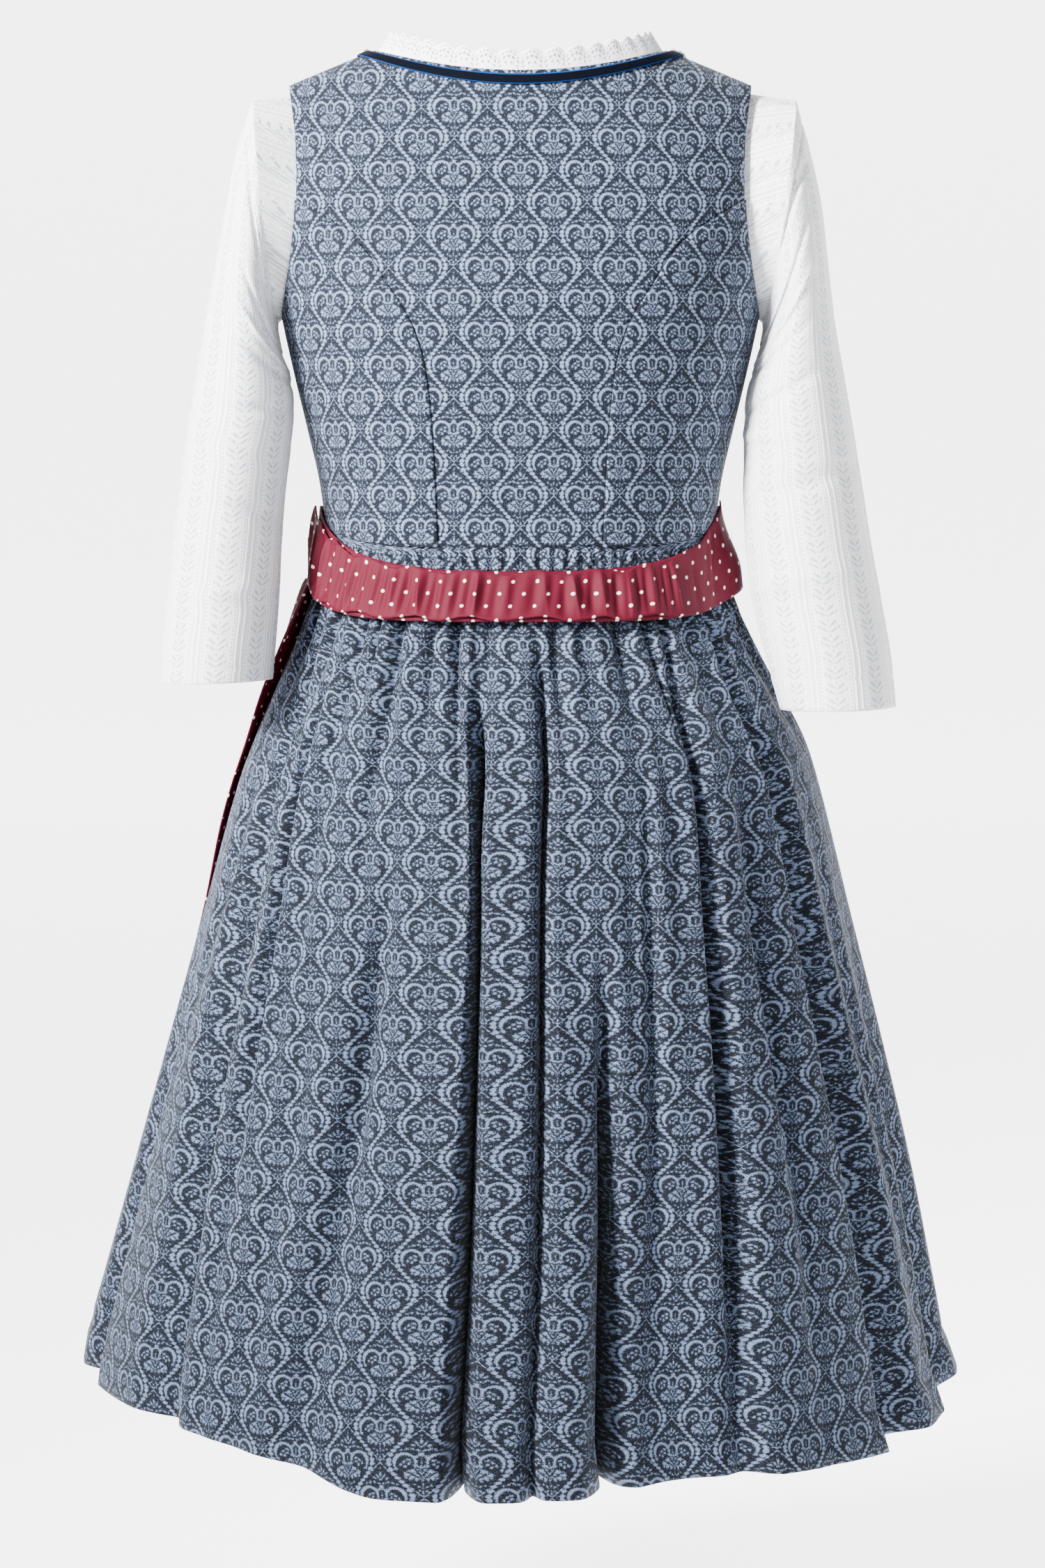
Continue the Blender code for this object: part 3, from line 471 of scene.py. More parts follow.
    def round_neck(self, u: Array, inset: float, drop_front: float) -> Array:
        """Point on the neckline all the way round.

        Args:
            u: 0 and 1 at the middle of the front, 0.5 at the middle of the back.
            inset: How far the line is moved away from the neck.
            drop_front: Depth of the neckline in front.

        Returns:
            The points.
        """
        u = np.asarray(u, float)
        behind = (u >= 0.25) & (u <= 0.75)
        way = np.where(u < 0.5, 4 * u, 4 * (u - 1))
        front_turn = np.sign(way) * turn_to_shoulder(np.clip(np.abs(way), 0, 1))
        turn = np.where(behind, math.pi - math.tau * u, front_turn)
        points = []
        for side in (1, -1):
            x, z = self.neckline(side, np.abs(turn), inset, drop_front)
            x = np.copysign(x, turn)
            points.append(self.point(side, self.angle_of(x, z), z))
        return np.where(behind[..., None], points[0], points[1])


def turn_to_shoulder(way: Array) -> Array:
    """Turn along the front neckline, with points drawn closer together near the shoulder."""
    return QUARTER * (1 - (1 - way) ** 2.3)


def fold_strength(fold: Fold, t: Array) -> Array:
    """Share of a fold's depth that it has at a share of the skirt's length."""
    return smooth_step(fold.start, fold.full, t) * lerp(1.0, fold.at_hem, smooth_step(fold.full, 1.0, t))


@dataclass(frozen=True)
class SkirtForm:
    """Shape of the skirt under its gathers and folds, in metres."""

    body: TorsoForm = field(default_factory=TorsoForm)
    gap: float = 0.35 * MM
    hem_side: float = -750 * MM
    hem_back_depth: float = 240 * MM
    hem_front_depth: float = 216 * MM
    waist_depth: float = 85 * MM
    pleat_swell: float = 2.8 * MM
    pleat_fade: float = 0.34

    def point(self, angle: Array, t: Array) -> Array:
        """Point of the smooth skirt, t from 0 at the waist to 1 at the hem."""
        level = lerp(self.body.waist_side, self.hem_side, t)
        half = along(SKIRT, level, "half")
        lean = along(SKIRT, level, "lean")
        opening = (half - SKIRT[-1].half) / (SKIRT[0].half - SKIRT[-1].half)
        hem_depth = np.where(np.cos(angle) >= 0, self.hem_back_depth, self.hem_front_depth)
        depth = lerp(self.waist_depth, hem_depth, opening)
        power = 2 / lerp(self.body.roundness, 2.0, smooth_step(0, 0.4, t))
        x = half * signed_power(np.sin(angle), power) - lean
        y = depth * signed_power(np.cos(angle), power)
        turned = np.degrees(wrapped(angle))
        z = lerp(self.body.waist_height(angle) - self.gap, along(HEM, turned, "z"), t)
        return stacked(x, y, z)

    def fold_shift(self, angle: Array, t: Array, folds: Sequence[Fold] = FOLDS) -> Array:
        """How far the folds push the skirt out (positive) or in."""
        radius = self.radius(t)
        shift = np.zeros(np.broadcast(angle, t).shape)
        for fold in folds:
            middle = np.radians(lerp(fold.top, fold.hem, t))
            away = np.abs(wrapped(angle - middle)) * radius
            half = fold.half * lerp(0.55, 1.0, t)
            shift -= fold.depth * fold_strength(fold, t) * bell(away, half)
        return shift

    def radius(self, t: Array) -> Array:
        """Half width of the skirt at a share of its length."""
        return along(SKIRT, lerp(self.body.waist_side, self.hem_side, t), "half")

    def pleat_shift(self, turns: Array, t: Array) -> Array:
        """Gathers under the waist, which fade downwards."""
        fade = smooth_step(-0.03, 0.05, t) * (1 - smooth_step(0.06, self.pleat_fade, t))
        return self.pleat_swell * fade * np.cos(math.tau * turns)

    def share_at(self, angle: Array, height: Array) -> Array:
        """Share of the skirt's length at a height."""
        top = self.body.waist_height(angle)
        return (top - height) / (top - self.hem_side)


@dataclass(frozen=True)
class SashForm:
    """Bed of the apron's band and ties round the waist, in metres."""

    skirt: SkirtForm = field(default_factory=SkirtForm)

    def top(self, angle: Array) -> Array:
        """Height of the upper edge."""
        c = np.cos(angle)
        behind = lerp(-0.258, -0.294, 1 - (1 - np.clip(c, 0, 1)) ** 1.3)
        return np.where(c >= 0, behind, lerp(-0.258, -0.262, -c))

    def bottom(self, angle: Array) -> Array:
        """Height of the lower edge."""
        c = np.cos(angle)
        behind = lerp(-0.299, -0.3215, 1 - (1 - np.clip(c, 0, 1)) ** 2)
        return np.where(c >= 0, behind, lerp(-0.299, -0.302, -c))

    def point(self, angle: Array, v: Array, lift: Array) -> Array:
        """Point of the sash, v 0 at its upper edge, lift metres out of its bed."""
        body = self.skirt.body
        behind = np.cos(angle) >= 0
        torso_angle = np.arcsin(np.clip(np.sin(angle), -1, 1))
        tops = [body.point(side, torso_angle, self.top(angle)) for side in (1, -1)]
        top = np.where(behind[..., None], tops[0], tops[1])
        bottom = self.skirt.point(angle, self.skirt.share_at(angle, self.bottom(angle)))
        out = outward(angle)
        lift = np.asarray(lift, float)[..., None] if np.ndim(lift) else lift
        top = top + out * (1.8 * MM + lift)
        bottom = bottom + out * (self.skirt.pleat_swell + 1.2 * MM + lift)
        point = lerp(top, bottom, np.asarray(v, float)[..., None])
        point[..., 2] = lerp(self.top(angle), self.bottom(angle), v)
        return point


# Cloth makers


class Facing(Enum):
    """Which way the grid's own normals must point to face outwards."""

    OUT = 1
    IN = -1


class Hold(Enum):
    """How a cloth is held."""

    HUNG = "hung"
    GATHERED = "gathered"
    STRETCHED = "stretched"
    FOLDED = "folded"


@dataclass
class Cloth:
    """One piece of cloth: a fine grid laid on a surface, with a wall from Solidify.

    The grid runs across from +X to -X (u) and down (v). Its map holds metres along the cloth, so that
    woven and printed patterns keep their real size.
    """

    name: str
    surface: Surface
    columns: int
    rows: int
    wall: float = 1.0 * MM
    facing: Facing = Facing.OUT
    closed: bool = False
    depth: Depth | None = None
    level_row: float = 1.0
    held: Hold = Hold.STRETCHED
    rests_on: tuple[str, ...] = ()
    even_map: tuple[float, float] | None = None
    mapped_on: Surface | None = None
    weave: Surface | None = None

    def shares(self) -> tuple[Array, Array]:
        """Shares u and v of every point of the grid, rows by columns."""
        down, across = np.linspace(0, 1, self.rows + 1), np.linspace(0, 1, self.columns + 1)
        v, u = np.meshgrid(down, across, indexing="ij")
        return u, v

    def points(self) -> Array:
        """Rows by columns of points, each moved inwards along the normal by its depth."""
        u, v = self.shares()
        laid = self.surface(u, v)
        if self.depth is None:
            return laid
        if self.closed:
            around = np.concatenate([laid[:, -2:-1], laid, laid[:, 1:2]], axis=1)
            across = (around[:, 2:] - around[:, :-2]) / 2
        else:
            across = np.gradient(laid, axis=1)
        down = np.gradient(laid, axis=0)
        normal = np.cross(down, across) * self.facing.value
        normal /= np.maximum(np.linalg.norm(normal, axis=-1, keepdims=True), 1e-12)
        return laid - normal * self.depth(u, v)[..., None]

    def cloth_map(self, laid: Array) -> Array:
        """Distance along the cloth from its middle line and from its level row, in metres.

        A piece with an even map gets shares of its own width and height times that map instead, and a
        gathered piece may be measured on the smooth surface that its weave follows from row to row. A weave
        of its own, where it has one, gives the map directly.
        """
        if self.weave is not None:
            return self.weave(*self.shares())
        if self.even_map is not None:
            u, v = self.shares()
            return np.stack([u * self.even_map[0], (1 - v) * self.even_map[1]], axis=-1)
        if self.mapped_on is not None:
            laid = self.mapped_on(*self.shares())
        steps = spans(laid, 1)
        across = np.concatenate([np.zeros((len(laid), 1)), np.cumsum(steps, axis=1)], axis=1)
        across -= across[:, [self.columns // 2]]
        steps = spans(laid, 0)
        down = np.concatenate([np.zeros((1, laid.shape[1])), np.cumsum(steps, axis=0)])
        level = round(self.level_row * self.rows)
        return np.stack([across, down[[level]] - down], axis=-1)

    def cut(self, laid: Array) -> tuple[tuple[float, float], float]:
        """Flat size of what shows: width and length of the cut and its area."""
        across = spans(laid, 1).sum(axis=1).max()
        down = spans(laid, 0).sum(axis=0).max()
        a, b = laid[1:, 1:] - laid[:-1, :-1], laid[1:, :-1] - laid[:-1, 1:]
        area = np.linalg.norm(np.cross(a, b), axis=-1).sum() / 2
        return (float(across), float(down)), float(min(area, across * down))

    def make(self, finish: Material, replaces: Sequence[str]) -> bpy.types.Object:
        """Args:
            finish: Material of the cloth.
            replaces: Solids that it stands for.

        Returns:
            The finished object.
        """
        laid = self.points()
        mapped = self.cloth_map(laid)
        bm = bmesh.new()
        bmesh.ops.create_grid(bm, x_segments=self.columns, y_segments=self.rows, size=0.5)
        if self.facing is Facing.IN:
            bmesh.ops.reverse_faces(bm, faces=bm.faces)
        layer = bm.loops.layers.uv.new("cloth")
        at = {}
        for vert in bm.verts:
            row = round((0.5 - vert.co.y) * self.rows)
            column = round((vert.co.x + 0.5) * self.columns)
            at[vert] = (row, column)
            vert.co = laid[row, column]
        for face in bm.faces:
            for loop in face.loops:
                loop[layer].uv = mapped[at[loop.vert]]
        if self.closed:
            bmesh.ops.remove_doubles(bm, verts=bm.verts, dist=0.01 * MM)
        made = add_piece(self.name, bm, finish, replaces)
        shell = made.modifiers.new("cloth wall", "SOLIDIFY")
        shell.thickness = self.wall
        shell.offset = -1.0
        return made


def shaped(name: str, bm: bmesh.types.BMesh, finish: Material) -> bpy.types.Object:
    """Turn a bmesh, which is freed, into a smooth object of one material."""
    mesh = bpy.data.meshes.new(name)
    bm.to_mesh(mesh)
    bm.free()
    mesh.shade_smooth()
    mesh.materials.append(finish)
    return linked(bpy.data.objects.new(name, mesh))


def linked(made: bpy.types.Object) -> bpy.types.Object:
    """Put an object into the scene."""
    bpy.context.scene.collection.objects.link(made)
    return made


def add_piece(
    name: str, bm: bmesh.types.BMesh, finish: Material, replaces: Sequence[str]
) -> bpy.types.Object:
    """Turn a bmesh into a dressed object that rides on the frame.

    Args:
        name: Name of the piece.
        bm: Its shape, which is freed.
        finish: Its material.
        replaces: Solids that it stands for.

    Returns:
        The object.
    """
    made = shaped(name, bm, finish)
    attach(made, ROOT)
    if replaces:
        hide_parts(*replaces)
    return made


def patch(
    left: Border, right: Border, top: Border, bottom: Border, hold: float = 1.0, fade: float = 1.0
) -> Inside:
    """Patch between four edges that give angle, or length round the torso, and height.

    Args:
        left: Edge at u 0, a function of v.
        right: Edge at u 1, a function of v.
        top: Edge at v 0, a function of u.
        bottom: Edge at v 1, a function of u.
        hold: 1 for a Coons patch, more to keep the bend of the side edges near them.
        fade: 1 for a Coons patch, more to keep the bend of the top edge near it.

    Returns:
        A function of u and v that gives what the edges give.
    """

    def inside(u: Array, v: Array) -> tuple[Array, Array]:
        """What the edges give, inside the patch."""
        start, end = np.zeros(1), np.ones(1)
        values = []
        for i in range(2):
            off_left = left(v)[i] - lerp(top(start)[i], bottom(start)[i], v)
            off_right = right(v)[i] - lerp(top(end)[i], bottom(end)[i], v)
            chord = lerp(top(start)[i], top(end)[i], u)
            ruled = lerp(chord, bottom(u)[i], v) + (top(u)[i] - chord) * (1 - v) ** fade
            values.append(ruled + off_left * (1 - u) ** hold + off_right * u**hold)
        return values[0], values[1]

    return inside


# Dress


BACK_CREASES = table(
    Crease,
    (0.103, -0.106, 0.050, 38, 0.0050, 0.0016), (0.112, -0.128, 0.046, 30, 0.0045, -0.0015),
    (-0.104, -0.104, 0.052, -40, 0.0050, 0.0016), (-0.114, -0.127, 0.044, -28, 0.0045, -0.0014),
    (0.084, -0.205, 0.040, 12, 0.0060, 0.0010), (-0.083, -0.212, 0.044, -14, 0.0060, 0.0010),
    (0.062, -0.238, 0.050, -8, 0.0055, -0.0011), (-0.066, -0.240, 0.046, 9, 0.0055, -0.0011),
    (0.020, -0.252, 0.070, 3, 0.0060, 0.0009), (-0.026, -0.262, 0.060, -4, 0.0050, -0.0009),
    (0.030, -0.046, 0.060, -14, 0.0080, -0.0008), (-0.036, -0.044, 0.064, 16, 0.0080, -0.0008),
)
FRONT_CREASES = table(
    Crease,
    (0.098, -0.120, 0.046, 34, 0.0050, 0.0014), (-0.097, -0.122, 0.048, -36, 0.0050, 0.0014),
    (0.070, -0.210, 0.052, -16, 0.0060, -0.0012), (-0.072, -0.206, 0.050, 18, 0.0060, -0.0012),
    (0.050, -0.250, 0.060, 6, 0.0055, 0.0010), (-0.046, -0.255, 0.054, -8, 0.0055, 0.0010),
)


def creased(x: Array, z: Array, creases: Sequence[Crease]) -> Array:
    """Height that the creases give the cloth.

    Args:
        x: Places across.
        z: Heights of those places.
        creases: The creases.

    Returns:
        How far the cloth stands out (positive) or in.
    """
    rise = np.zeros(np.shape(x))
    for crease in creases:
        turn = math.radians(crease.tilt)
        ahead = (x - crease.x) * math.cos(turn) + (z - crease.z) * math.sin(turn)
        aside = (z - crease.z) * math.cos(turn) - (x - crease.x) * math.sin(turn)
        rise += crease.rise * np.exp(-((aside / crease.half) ** 2) - (2 * ahead / crease.length) ** 2)
    return rise


@dataclass
class Bodice:
    """Fitted bodice: back panel, two side backs, two fronts, gathered casing and front closure."""

    form: TorsoForm = field(default_factory=TorsoForm)
    wall: float = 1.2 * MM
    gap: float = 0.02 * MM
    casing_height: float = 20.7 * MM
    casing_gathers: int = 36
    casing_swell: float = 1.1 * MM
    neck_share: float = 10 / 16
    corner_share: float = 4 / 14
    edge_roll: float = 0.10 * MM
    edge_width: float = 1.6 * MM

    def casing_top(self, angle: Array) -> Array:
        """Height of the casing's upper edge."""
        return self.form.waist_height(angle) + self.casing_height

    def ease(self, v: Array) -> Array:
        """Rows drawn close together under the shoulder line."""
        return np.asarray(v, float) ** 1.5

    def ease_below_armhole(self, v: Array) -> Array:
        """The same rows counted from where the princess seam leaves the armhole."""
        start = self.ease(self.corner_share)
        return (self.ease(lerp(self.corner_share, 1.0, v)) - start) / (1 - start)

    def princess(self, v: Array) -> tuple[Array, Array]:
        """Angle and height on the princess seam, from the armhole down."""
        foot = self.form.angle_of(PRINCESS[0].half, self.form.waist_back)
        z = lerp(PRINCESS[-1].z, self.casing_top(foot) + 2 * self.gap, v)
        return self.form.angle_of(along(PRINCESS, z, "half"), z), z

    def share_at_princess(self) -> float:
        """Share of the back armhole that lies above the princess seam."""
        top = self.form.shoulder_height(self.form.shoulder_half)
        eased = (PRINCESS[-1].z - top) / (self.form.armpit - top)
        return math.acos(1 - 2 * eased) / math.pi

    def back_top(self, u: Array) -> tuple[Array, Array]:
        """Shoulder lines and back neckline."""
        return self.form.open_top(1, u, self.neck_share, 0.0, 0.0, self.form.neck_drop_front)

    def back_side(self, v: Array, hand: int) -> tuple[Array, Array]:
        """Side edge of the back panel: armhole, then princess seam."""
        corner = self.ease(self.corner_share)
        hole = self.form.armhole(1, self.share_at_princess() * np.clip(v / corner, 0, 1))
        seam = self.princess(np.clip((v - corner) / (1 - corner), 0, 1))
        angle = np.where(v < corner, hole[0], seam[0])
        z = np.where(v < corner, hole[1], seam[1])
        return (angle - self.form.seam_turn(z)) * hand, z

    def back_bottom(self, u: Array) -> tuple[Array, Array]:
        """Lower edge of the back panel."""
        edge = self.princess(np.ones(1))[0] - self.form.seam_turn(self.casing_top(0.0))
        angle = lerp(edge, -edge, u)
        return angle, self.casing_top(angle) + 2 * self.gap

    def laid(self, side: int, hand: int, inside: Inside, ease: Ease, creases: Sequence[Crease]) -> Surface:
        """Surface of a patch laid on the torso with its creases."""

        def surface(u: Array, v: Array) -> Array:
            """Points of the panel."""
            reach, z = inside(u, ease(v))
            point = self.form.point(side, self.form.turn_at(side, reach, z), z)
            point[..., 0] *= hand
            edge = np.minimum(np.minimum(u, 1 - u), np.minimum(v, 1 - v))
            calm = smooth_step(0.0, 0.12, edge)
            rise = creased(point[..., 0], point[..., 2], creases) * calm
            away = point * np.array([1.0, 1.0, 0.0])
            away /= np.maximum(np.linalg.norm(away, axis=-1, keepdims=True), 1e-9)
            return point + away * rise[..., None]

        return surface

    def weave(self, hand: int, inside: Inside, ease: Ease) -> Surface:
        """Map of the weave on such a patch: level rows, and columns at even distances from the middle."""

        def mapped(u: Array, v: Array) -> Array:
            """Distance from the middle line and height."""
            reach, z = inside(u, ease(v))
            return np.stack([-hand * reach, z], axis=-1)

        return mapped

    def spread(self, side: int, *edges: Border, hold: float = 1.0, fade: float = 1.0) -> Inside:
        """Patch between edges given as angle and height, of length round the torso and height."""

        def measured(edge: Border) -> Border:
            """The same edge, with the length round the torso in place of the angle."""

            def given(share: Array) -> tuple[Array, Array]:
                """Length and height at this share of the edge."""
                angle, z = edge(share)
                return self.form.girth(side, angle, z), z

            return given

        return patch(*(measured(edge) for edge in edges), hold=hold, fade=fade)

    def rolled(self, width: float, height: float) -> Depth:
        """Depth of the cloth where it rolls into its seams, for a panel about this wide and high."""

        def depth(u: Array, v: Array) -> Array:
            """How far the cloth lies under its form."""
            sideways = np.minimum(u, 1 - u) * width
            upright = np.minimum(v, 1 - v) * height
            near = np.minimum(sideways, upright)
            return self.edge_roll * ridge(near, 0, self.edge_width)

        return depth

    def side_edges(self) -> tuple[Border, Border, Border, Border]:
        """Edges of the side back panel: seam, side, armhole and waist."""
        f, start = self.form, self.share_at_princess()

        def seam(v: Array) -> tuple[Array, Array]:
            """Princess seam."""
            angle, z = self.princess(v)
            return angle + f.seam_turn(z), z

        def side(v: Array) -> tuple[Array, Array]:
            """Side seam."""
            z = lerp(f.armpit, self.casing_top(QUARTER) + 2 * self.gap, v)
            return QUARTER + 0 * z, z

        def top(u: Array) -> tuple[Array, Array]:
            """Armhole."""
            angle, z = f.armhole(1, lerp(start, 1.0, u))
            return lerp(angle + f.seam_turn(z), angle, u), z

        def bottom(u: Array) -> tuple[Array, Array]:
            """Waist."""
            angle = lerp(seam(np.ones(1))[0], QUARTER, u)
            return angle, self.casing_top(angle) + 2 * self.gap

        return seam, side, top, bottom

    def front_edges(self) -> tuple[Border, Border, Border, Border]:
        """Edges of a front panel: outer edge, middle, top and waist."""
        f = self.form
        corner = self.ease(0.5)
        neck = 1 / 3

        def outer(v: Array) -> tuple[Array, Array]:
            """Armhole, then side seam."""
            hole = f.armhole(-1, np.clip(v / corner, 0, 1))
            z = lerp(f.armpit, f.waist_height(QUARTER) + self.gap, np.clip((v - corner) / (1 - corner), 0, 1))
            return np.where(v < corner, hole[0], QUARTER), np.where(v < corner, hole[1], z)

        def middle(v: Array) -> tuple[Array, Array]:
            """Middle of the front."""
            z = lerp(-f.neck_drop_front, f.waist_front + self.gap, v)
            return f.seam_turn(z), z

        def top(u: Array) -> tuple[Array, Array]:
            """Shoulder line and neckline."""
            strap_x = lerp(f.shoulder_half, f.neck_half, np.clip(u / neck, 0, 1))
            turn = turn_to_shoulder(np.clip((1 - u) / (1 - neck), 0, 1))
            neck_x, neck_z = f.neckline(-1, turn, 0.0, f.neck_drop_front)
            x = np.where(u < neck, strap_x, neck_x)
            z = np.where(u < neck, f.shoulder_height(strap_x), neck_z)
            return lerp(f.angle_of(x, z), f.seam_turn(z), np.clip(u - neck, 0, 1) ** 3), z

        def bottom(u: Array) -> tuple[Array, Array]:
            """Waist."""
            angle = lerp(QUARTER, f.seam_turn(f.waist_front), u)
            return angle, f.waist_height(math.pi - angle) + self.gap

        return outer, middle, top, bottom

    def casing(self, u: Array, v: Array) -> Array:
        """Gathered casing of the elastic across the back waist, pinched at its two stitch lines."""
        angle = lerp(QUARTER, -QUARTER, u)
        z = lerp(self.casing_top(angle), self.form.waist_height(angle) + self.gap, v)
        wander = 0.35 * np.sin(11 * u + 1.0) + 0.25 * np.sin(29 * u)
        waves = np.cos(math.tau * self.casing_gathers * 1.4 * u + wander * 3)
        lines = ridge(v, 0.08, 0.05) + ridge(v, 0.92, 0.05)
        swell = self.casing_swell * (waves * 0.8 + 0.35 * np.sin(math.pi * v)) * np.sin(math.pi * u) ** 0.5
        swell = swell * (1 - 0.5 * lines) - 0.3 * MM * lines
        return self.form.point(1, angle, z) + outward(angle) * swell[..., None]

    def build(self, damask: Material, metal: Material) -> None:
        """Make and dress every piece of the bodice."""
        back = self.spread(
            1, lambda v: self.back_side(v, 1), lambda v: self.back_side(v, -1),
            self.back_top, self.back_bottom,
            fade=2.0,
        )
        Cloth(
            "bodice_back_cloth", self.laid(1, 1, back, self.ease, BACK_CREASES), 128, 112,
            depth=self.rolled(0.20, 0.28), rests_on=("blouse_back_cloth",),
            weave=self.weave(1, back, self.ease),
        ).make(damask, ["bodice_back"])
        side_back = self.spread(1, *self.side_edges())
        front = self.spread(-1, *self.front_edges(), hold=2.0, fade=2.0)
        for hand, name in ((1, "left"), (-1, "right")):
            facing = Facing(hand)
            Cloth(
                f"bodice_side_back_{name}_cloth",
                self.laid(1, hand, side_back, self.ease_below_armhole, BACK_CREASES), 48, 84,
                facing=facing, depth=self.rolled(0.07, 0.18), rests_on=("blouse_back_cloth",),
                weave=self.weave(hand, side_back, self.ease_below_armhole),
            ).make(damask, [f"bodice_side_back_{name}"])
            Cloth(
                f"bodice_front_{name}_cloth",
                self.laid(-1, hand, front, self.ease, FRONT_CREASES), 72, 96,
                facing=Facing(-hand), depth=self.rolled(0.13, 0.27), rests_on=("blouse_front_cloth",),
                weave=self.weave(hand, front, self.ease),
            ).make(damask, [f"bodice_front_{name}"])
        Cloth(
            "waist_casing_cloth", self.casing, 432, 14, held=Hold.GATHERED, rests_on=("bodice_back_cloth",)
        ).make(damask, ["waist_casing"])
        FrontClosure(self).build(damask, metal)


@dataclass
class FrontClosure:
    """Placket down the middle of the front with a row of metal buttons."""

    bodice: Bodice
    half: float = 9 * MM
    below_ribbon: float = 10.6 * MM
    above_waist: float = 24 * MM
    buttons: int = 5
    radius: float = 6 * MM
    thickness: float = 2 * MM

    def surface(self, u: Array, v: Array) -> Array:
        """Placket on the bodice."""
        f = self.bodice.form
        z = lerp(-f.neck_drop_front - self.below_ribbon, f.waist_front + self.above_waist, v)
        return f.point(-1, f.angle_of(lerp(self.half, -self.half, u), z), z)

    def depth(self, u: Array, v: Array) -> Array:
        """Placket above the bodice, pressed flat at its stitched edges."""
        edge = np.minimum(u, 1 - u) * 2 * self.half
        return -self.bodice.wall - 0.35 * MM + 0.3 * MM * ridge(edge, 1.6 * MM, 0.6 * MM)

    def build(self, damask: Material, metal: Material) -> None:
        """Make the placket and its buttons."""
        Cloth(
            "front_placket_cloth", self.surface, 36, 120, facing=Facing.IN, depth=self.depth,
            rests_on=("bodice_front_left_cloth", "bodice_front_right_cloth"),
        ).make(damask, ["front_placket"])
        for number in range(self.buttons):
            low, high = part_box(f"button_{number + 1}")
            at = np.array([0.5]), np.array([(number + 0.5) / self.buttons])
            near = [self.surface(at[0], at[1] + step)[0] for step in (-0.01, 0.01)]
            down = Vector(near[1] - near[0]).normalized()
            out = Vector((-1, 0, 0)).cross(down).normalized()
            if out.y > 0:
                out = -out
            self.button(number + 1, (low + high) / 2, out, metal)

    def button(self, number: int, centre: Vector, out: Vector, metal: Material) -> None:
        """Domed button with a rim, turned from its outline.

        Args:
            number: Which button, from the top.
            centre: Middle of its solid.
            out: Direction it faces.
            metal: Its finish.
        """
        outline = (
            (0.00, -0.50), (0.80, -0.50), (0.97, -0.30), (1.00, 0.02), (0.95, 0.22), (0.86, 0.30),
            (0.78, 0.22), (0.72, 0.20), (0.55, 0.36), (0.30, 0.47), (0.00, 0.50),
        )
        bm = bmesh.new()
        points = [bm.verts.new((x * self.radius, 0, z * self.thickness)) for x, z in outline]
        edges = [bm.edges.new(pair) for pair in zip(points[:-1], points[1:])]
        bmesh.ops.spin(
            bm, geom=points + edges, cent=(0, 0, 0), axis=(0, 0, 1), angle=math.tau, steps=48, use_merge=True
        )
        bmesh.ops.remove_doubles(bm, verts=bm.verts, dist=0.001 * MM)
        bmesh.ops.recalc_face_normals(bm, faces=bm.faces)
        turn = out.to_track_quat("Z", "Y").to_matrix().to_4x4()
        turn.translation = centre
        bmesh.ops.transform(bm, matrix=turn, verts=bm.verts)
        add_piece(f"button_{number}_metal", bm, metal, [f"button_{number}"])


@dataclass
class NeckRibbon:
    """Velvet ribbon sewn round the neckline."""

    form: TorsoForm = field(default_factory=TorsoForm)
    inset: float = 2.6 * MM
    width: float = 6 * MM
    wall: float = 0.8 * MM
    gap: float = 0.35 * MM

    def surface(self, u: Array, v: Array) -> Array:
        """Ribbon on the bodice."""
        insets = (self.inset, self.inset + self.width)
        points = [self.form.round_neck(u, inset, self.form.neck_drop_front) for inset in insets]
        return lerp(points[0], points[1], np.asarray(v)[..., None])

    def depth(self, u: Array, v: Array) -> Array:
        """Ribbon above the bodice, its pile plump in the middle."""
        return -self.wall - 2 * self.gap + 0.25 * MM * (2 * v - 1) ** 4

    def build(self, velvet: Material) -> None:
        """Make the ribbon."""
        Cloth(
            "neck_ribbon_velvet", self.surface, 320, 8, wall=self.wall, closed=True, depth=self.depth,
            rests_on=("bodice_back_cloth",),
        ).make(velvet, ["neck_ribbon"])


class SideGather(NamedTuple):
    """Extra small gather of the skirt: angle, share where it is deepest, reach, half width and depth."""

    angle: float
    at: float
    reach: float
    half: float
    depth: float


DEEP_FOLDS = table(
    Fold,
    (10.4, 8.6, 0.08, 0.34, 0.036, 1.00, 0.0130), (-3.0, -1.6, 0.03, 0.22, 0.018, 0.60, 0.0085),
    (-13.8, -12.0, 0.35, 0.75, 0.024, 1.00, 0.0110), (-36.6, -31.0, 0.04, 0.34, 0.026, 0.10, 0.0110),
    (-57.0, -56.0, 0.04, 0.36, 0.020, 0.50, 0.0140), (66.0, 51.0, 0.04, 0.36, 0.018, 0.20, 0.0140),
    (56.0, 44.0, 0.04, 0.30, 0.010, 0.05, 0.0120), (25.5, 28.8, 0.20, 0.50, 0.007, 0.20, 0.0160),
    (-24.0, -19.0, 0.15, 0.45, 0.008, 0.05, 0.0120), (-46.0, -43.0, 0.15, 0.50, 0.008, 0.20, 0.0140),
)
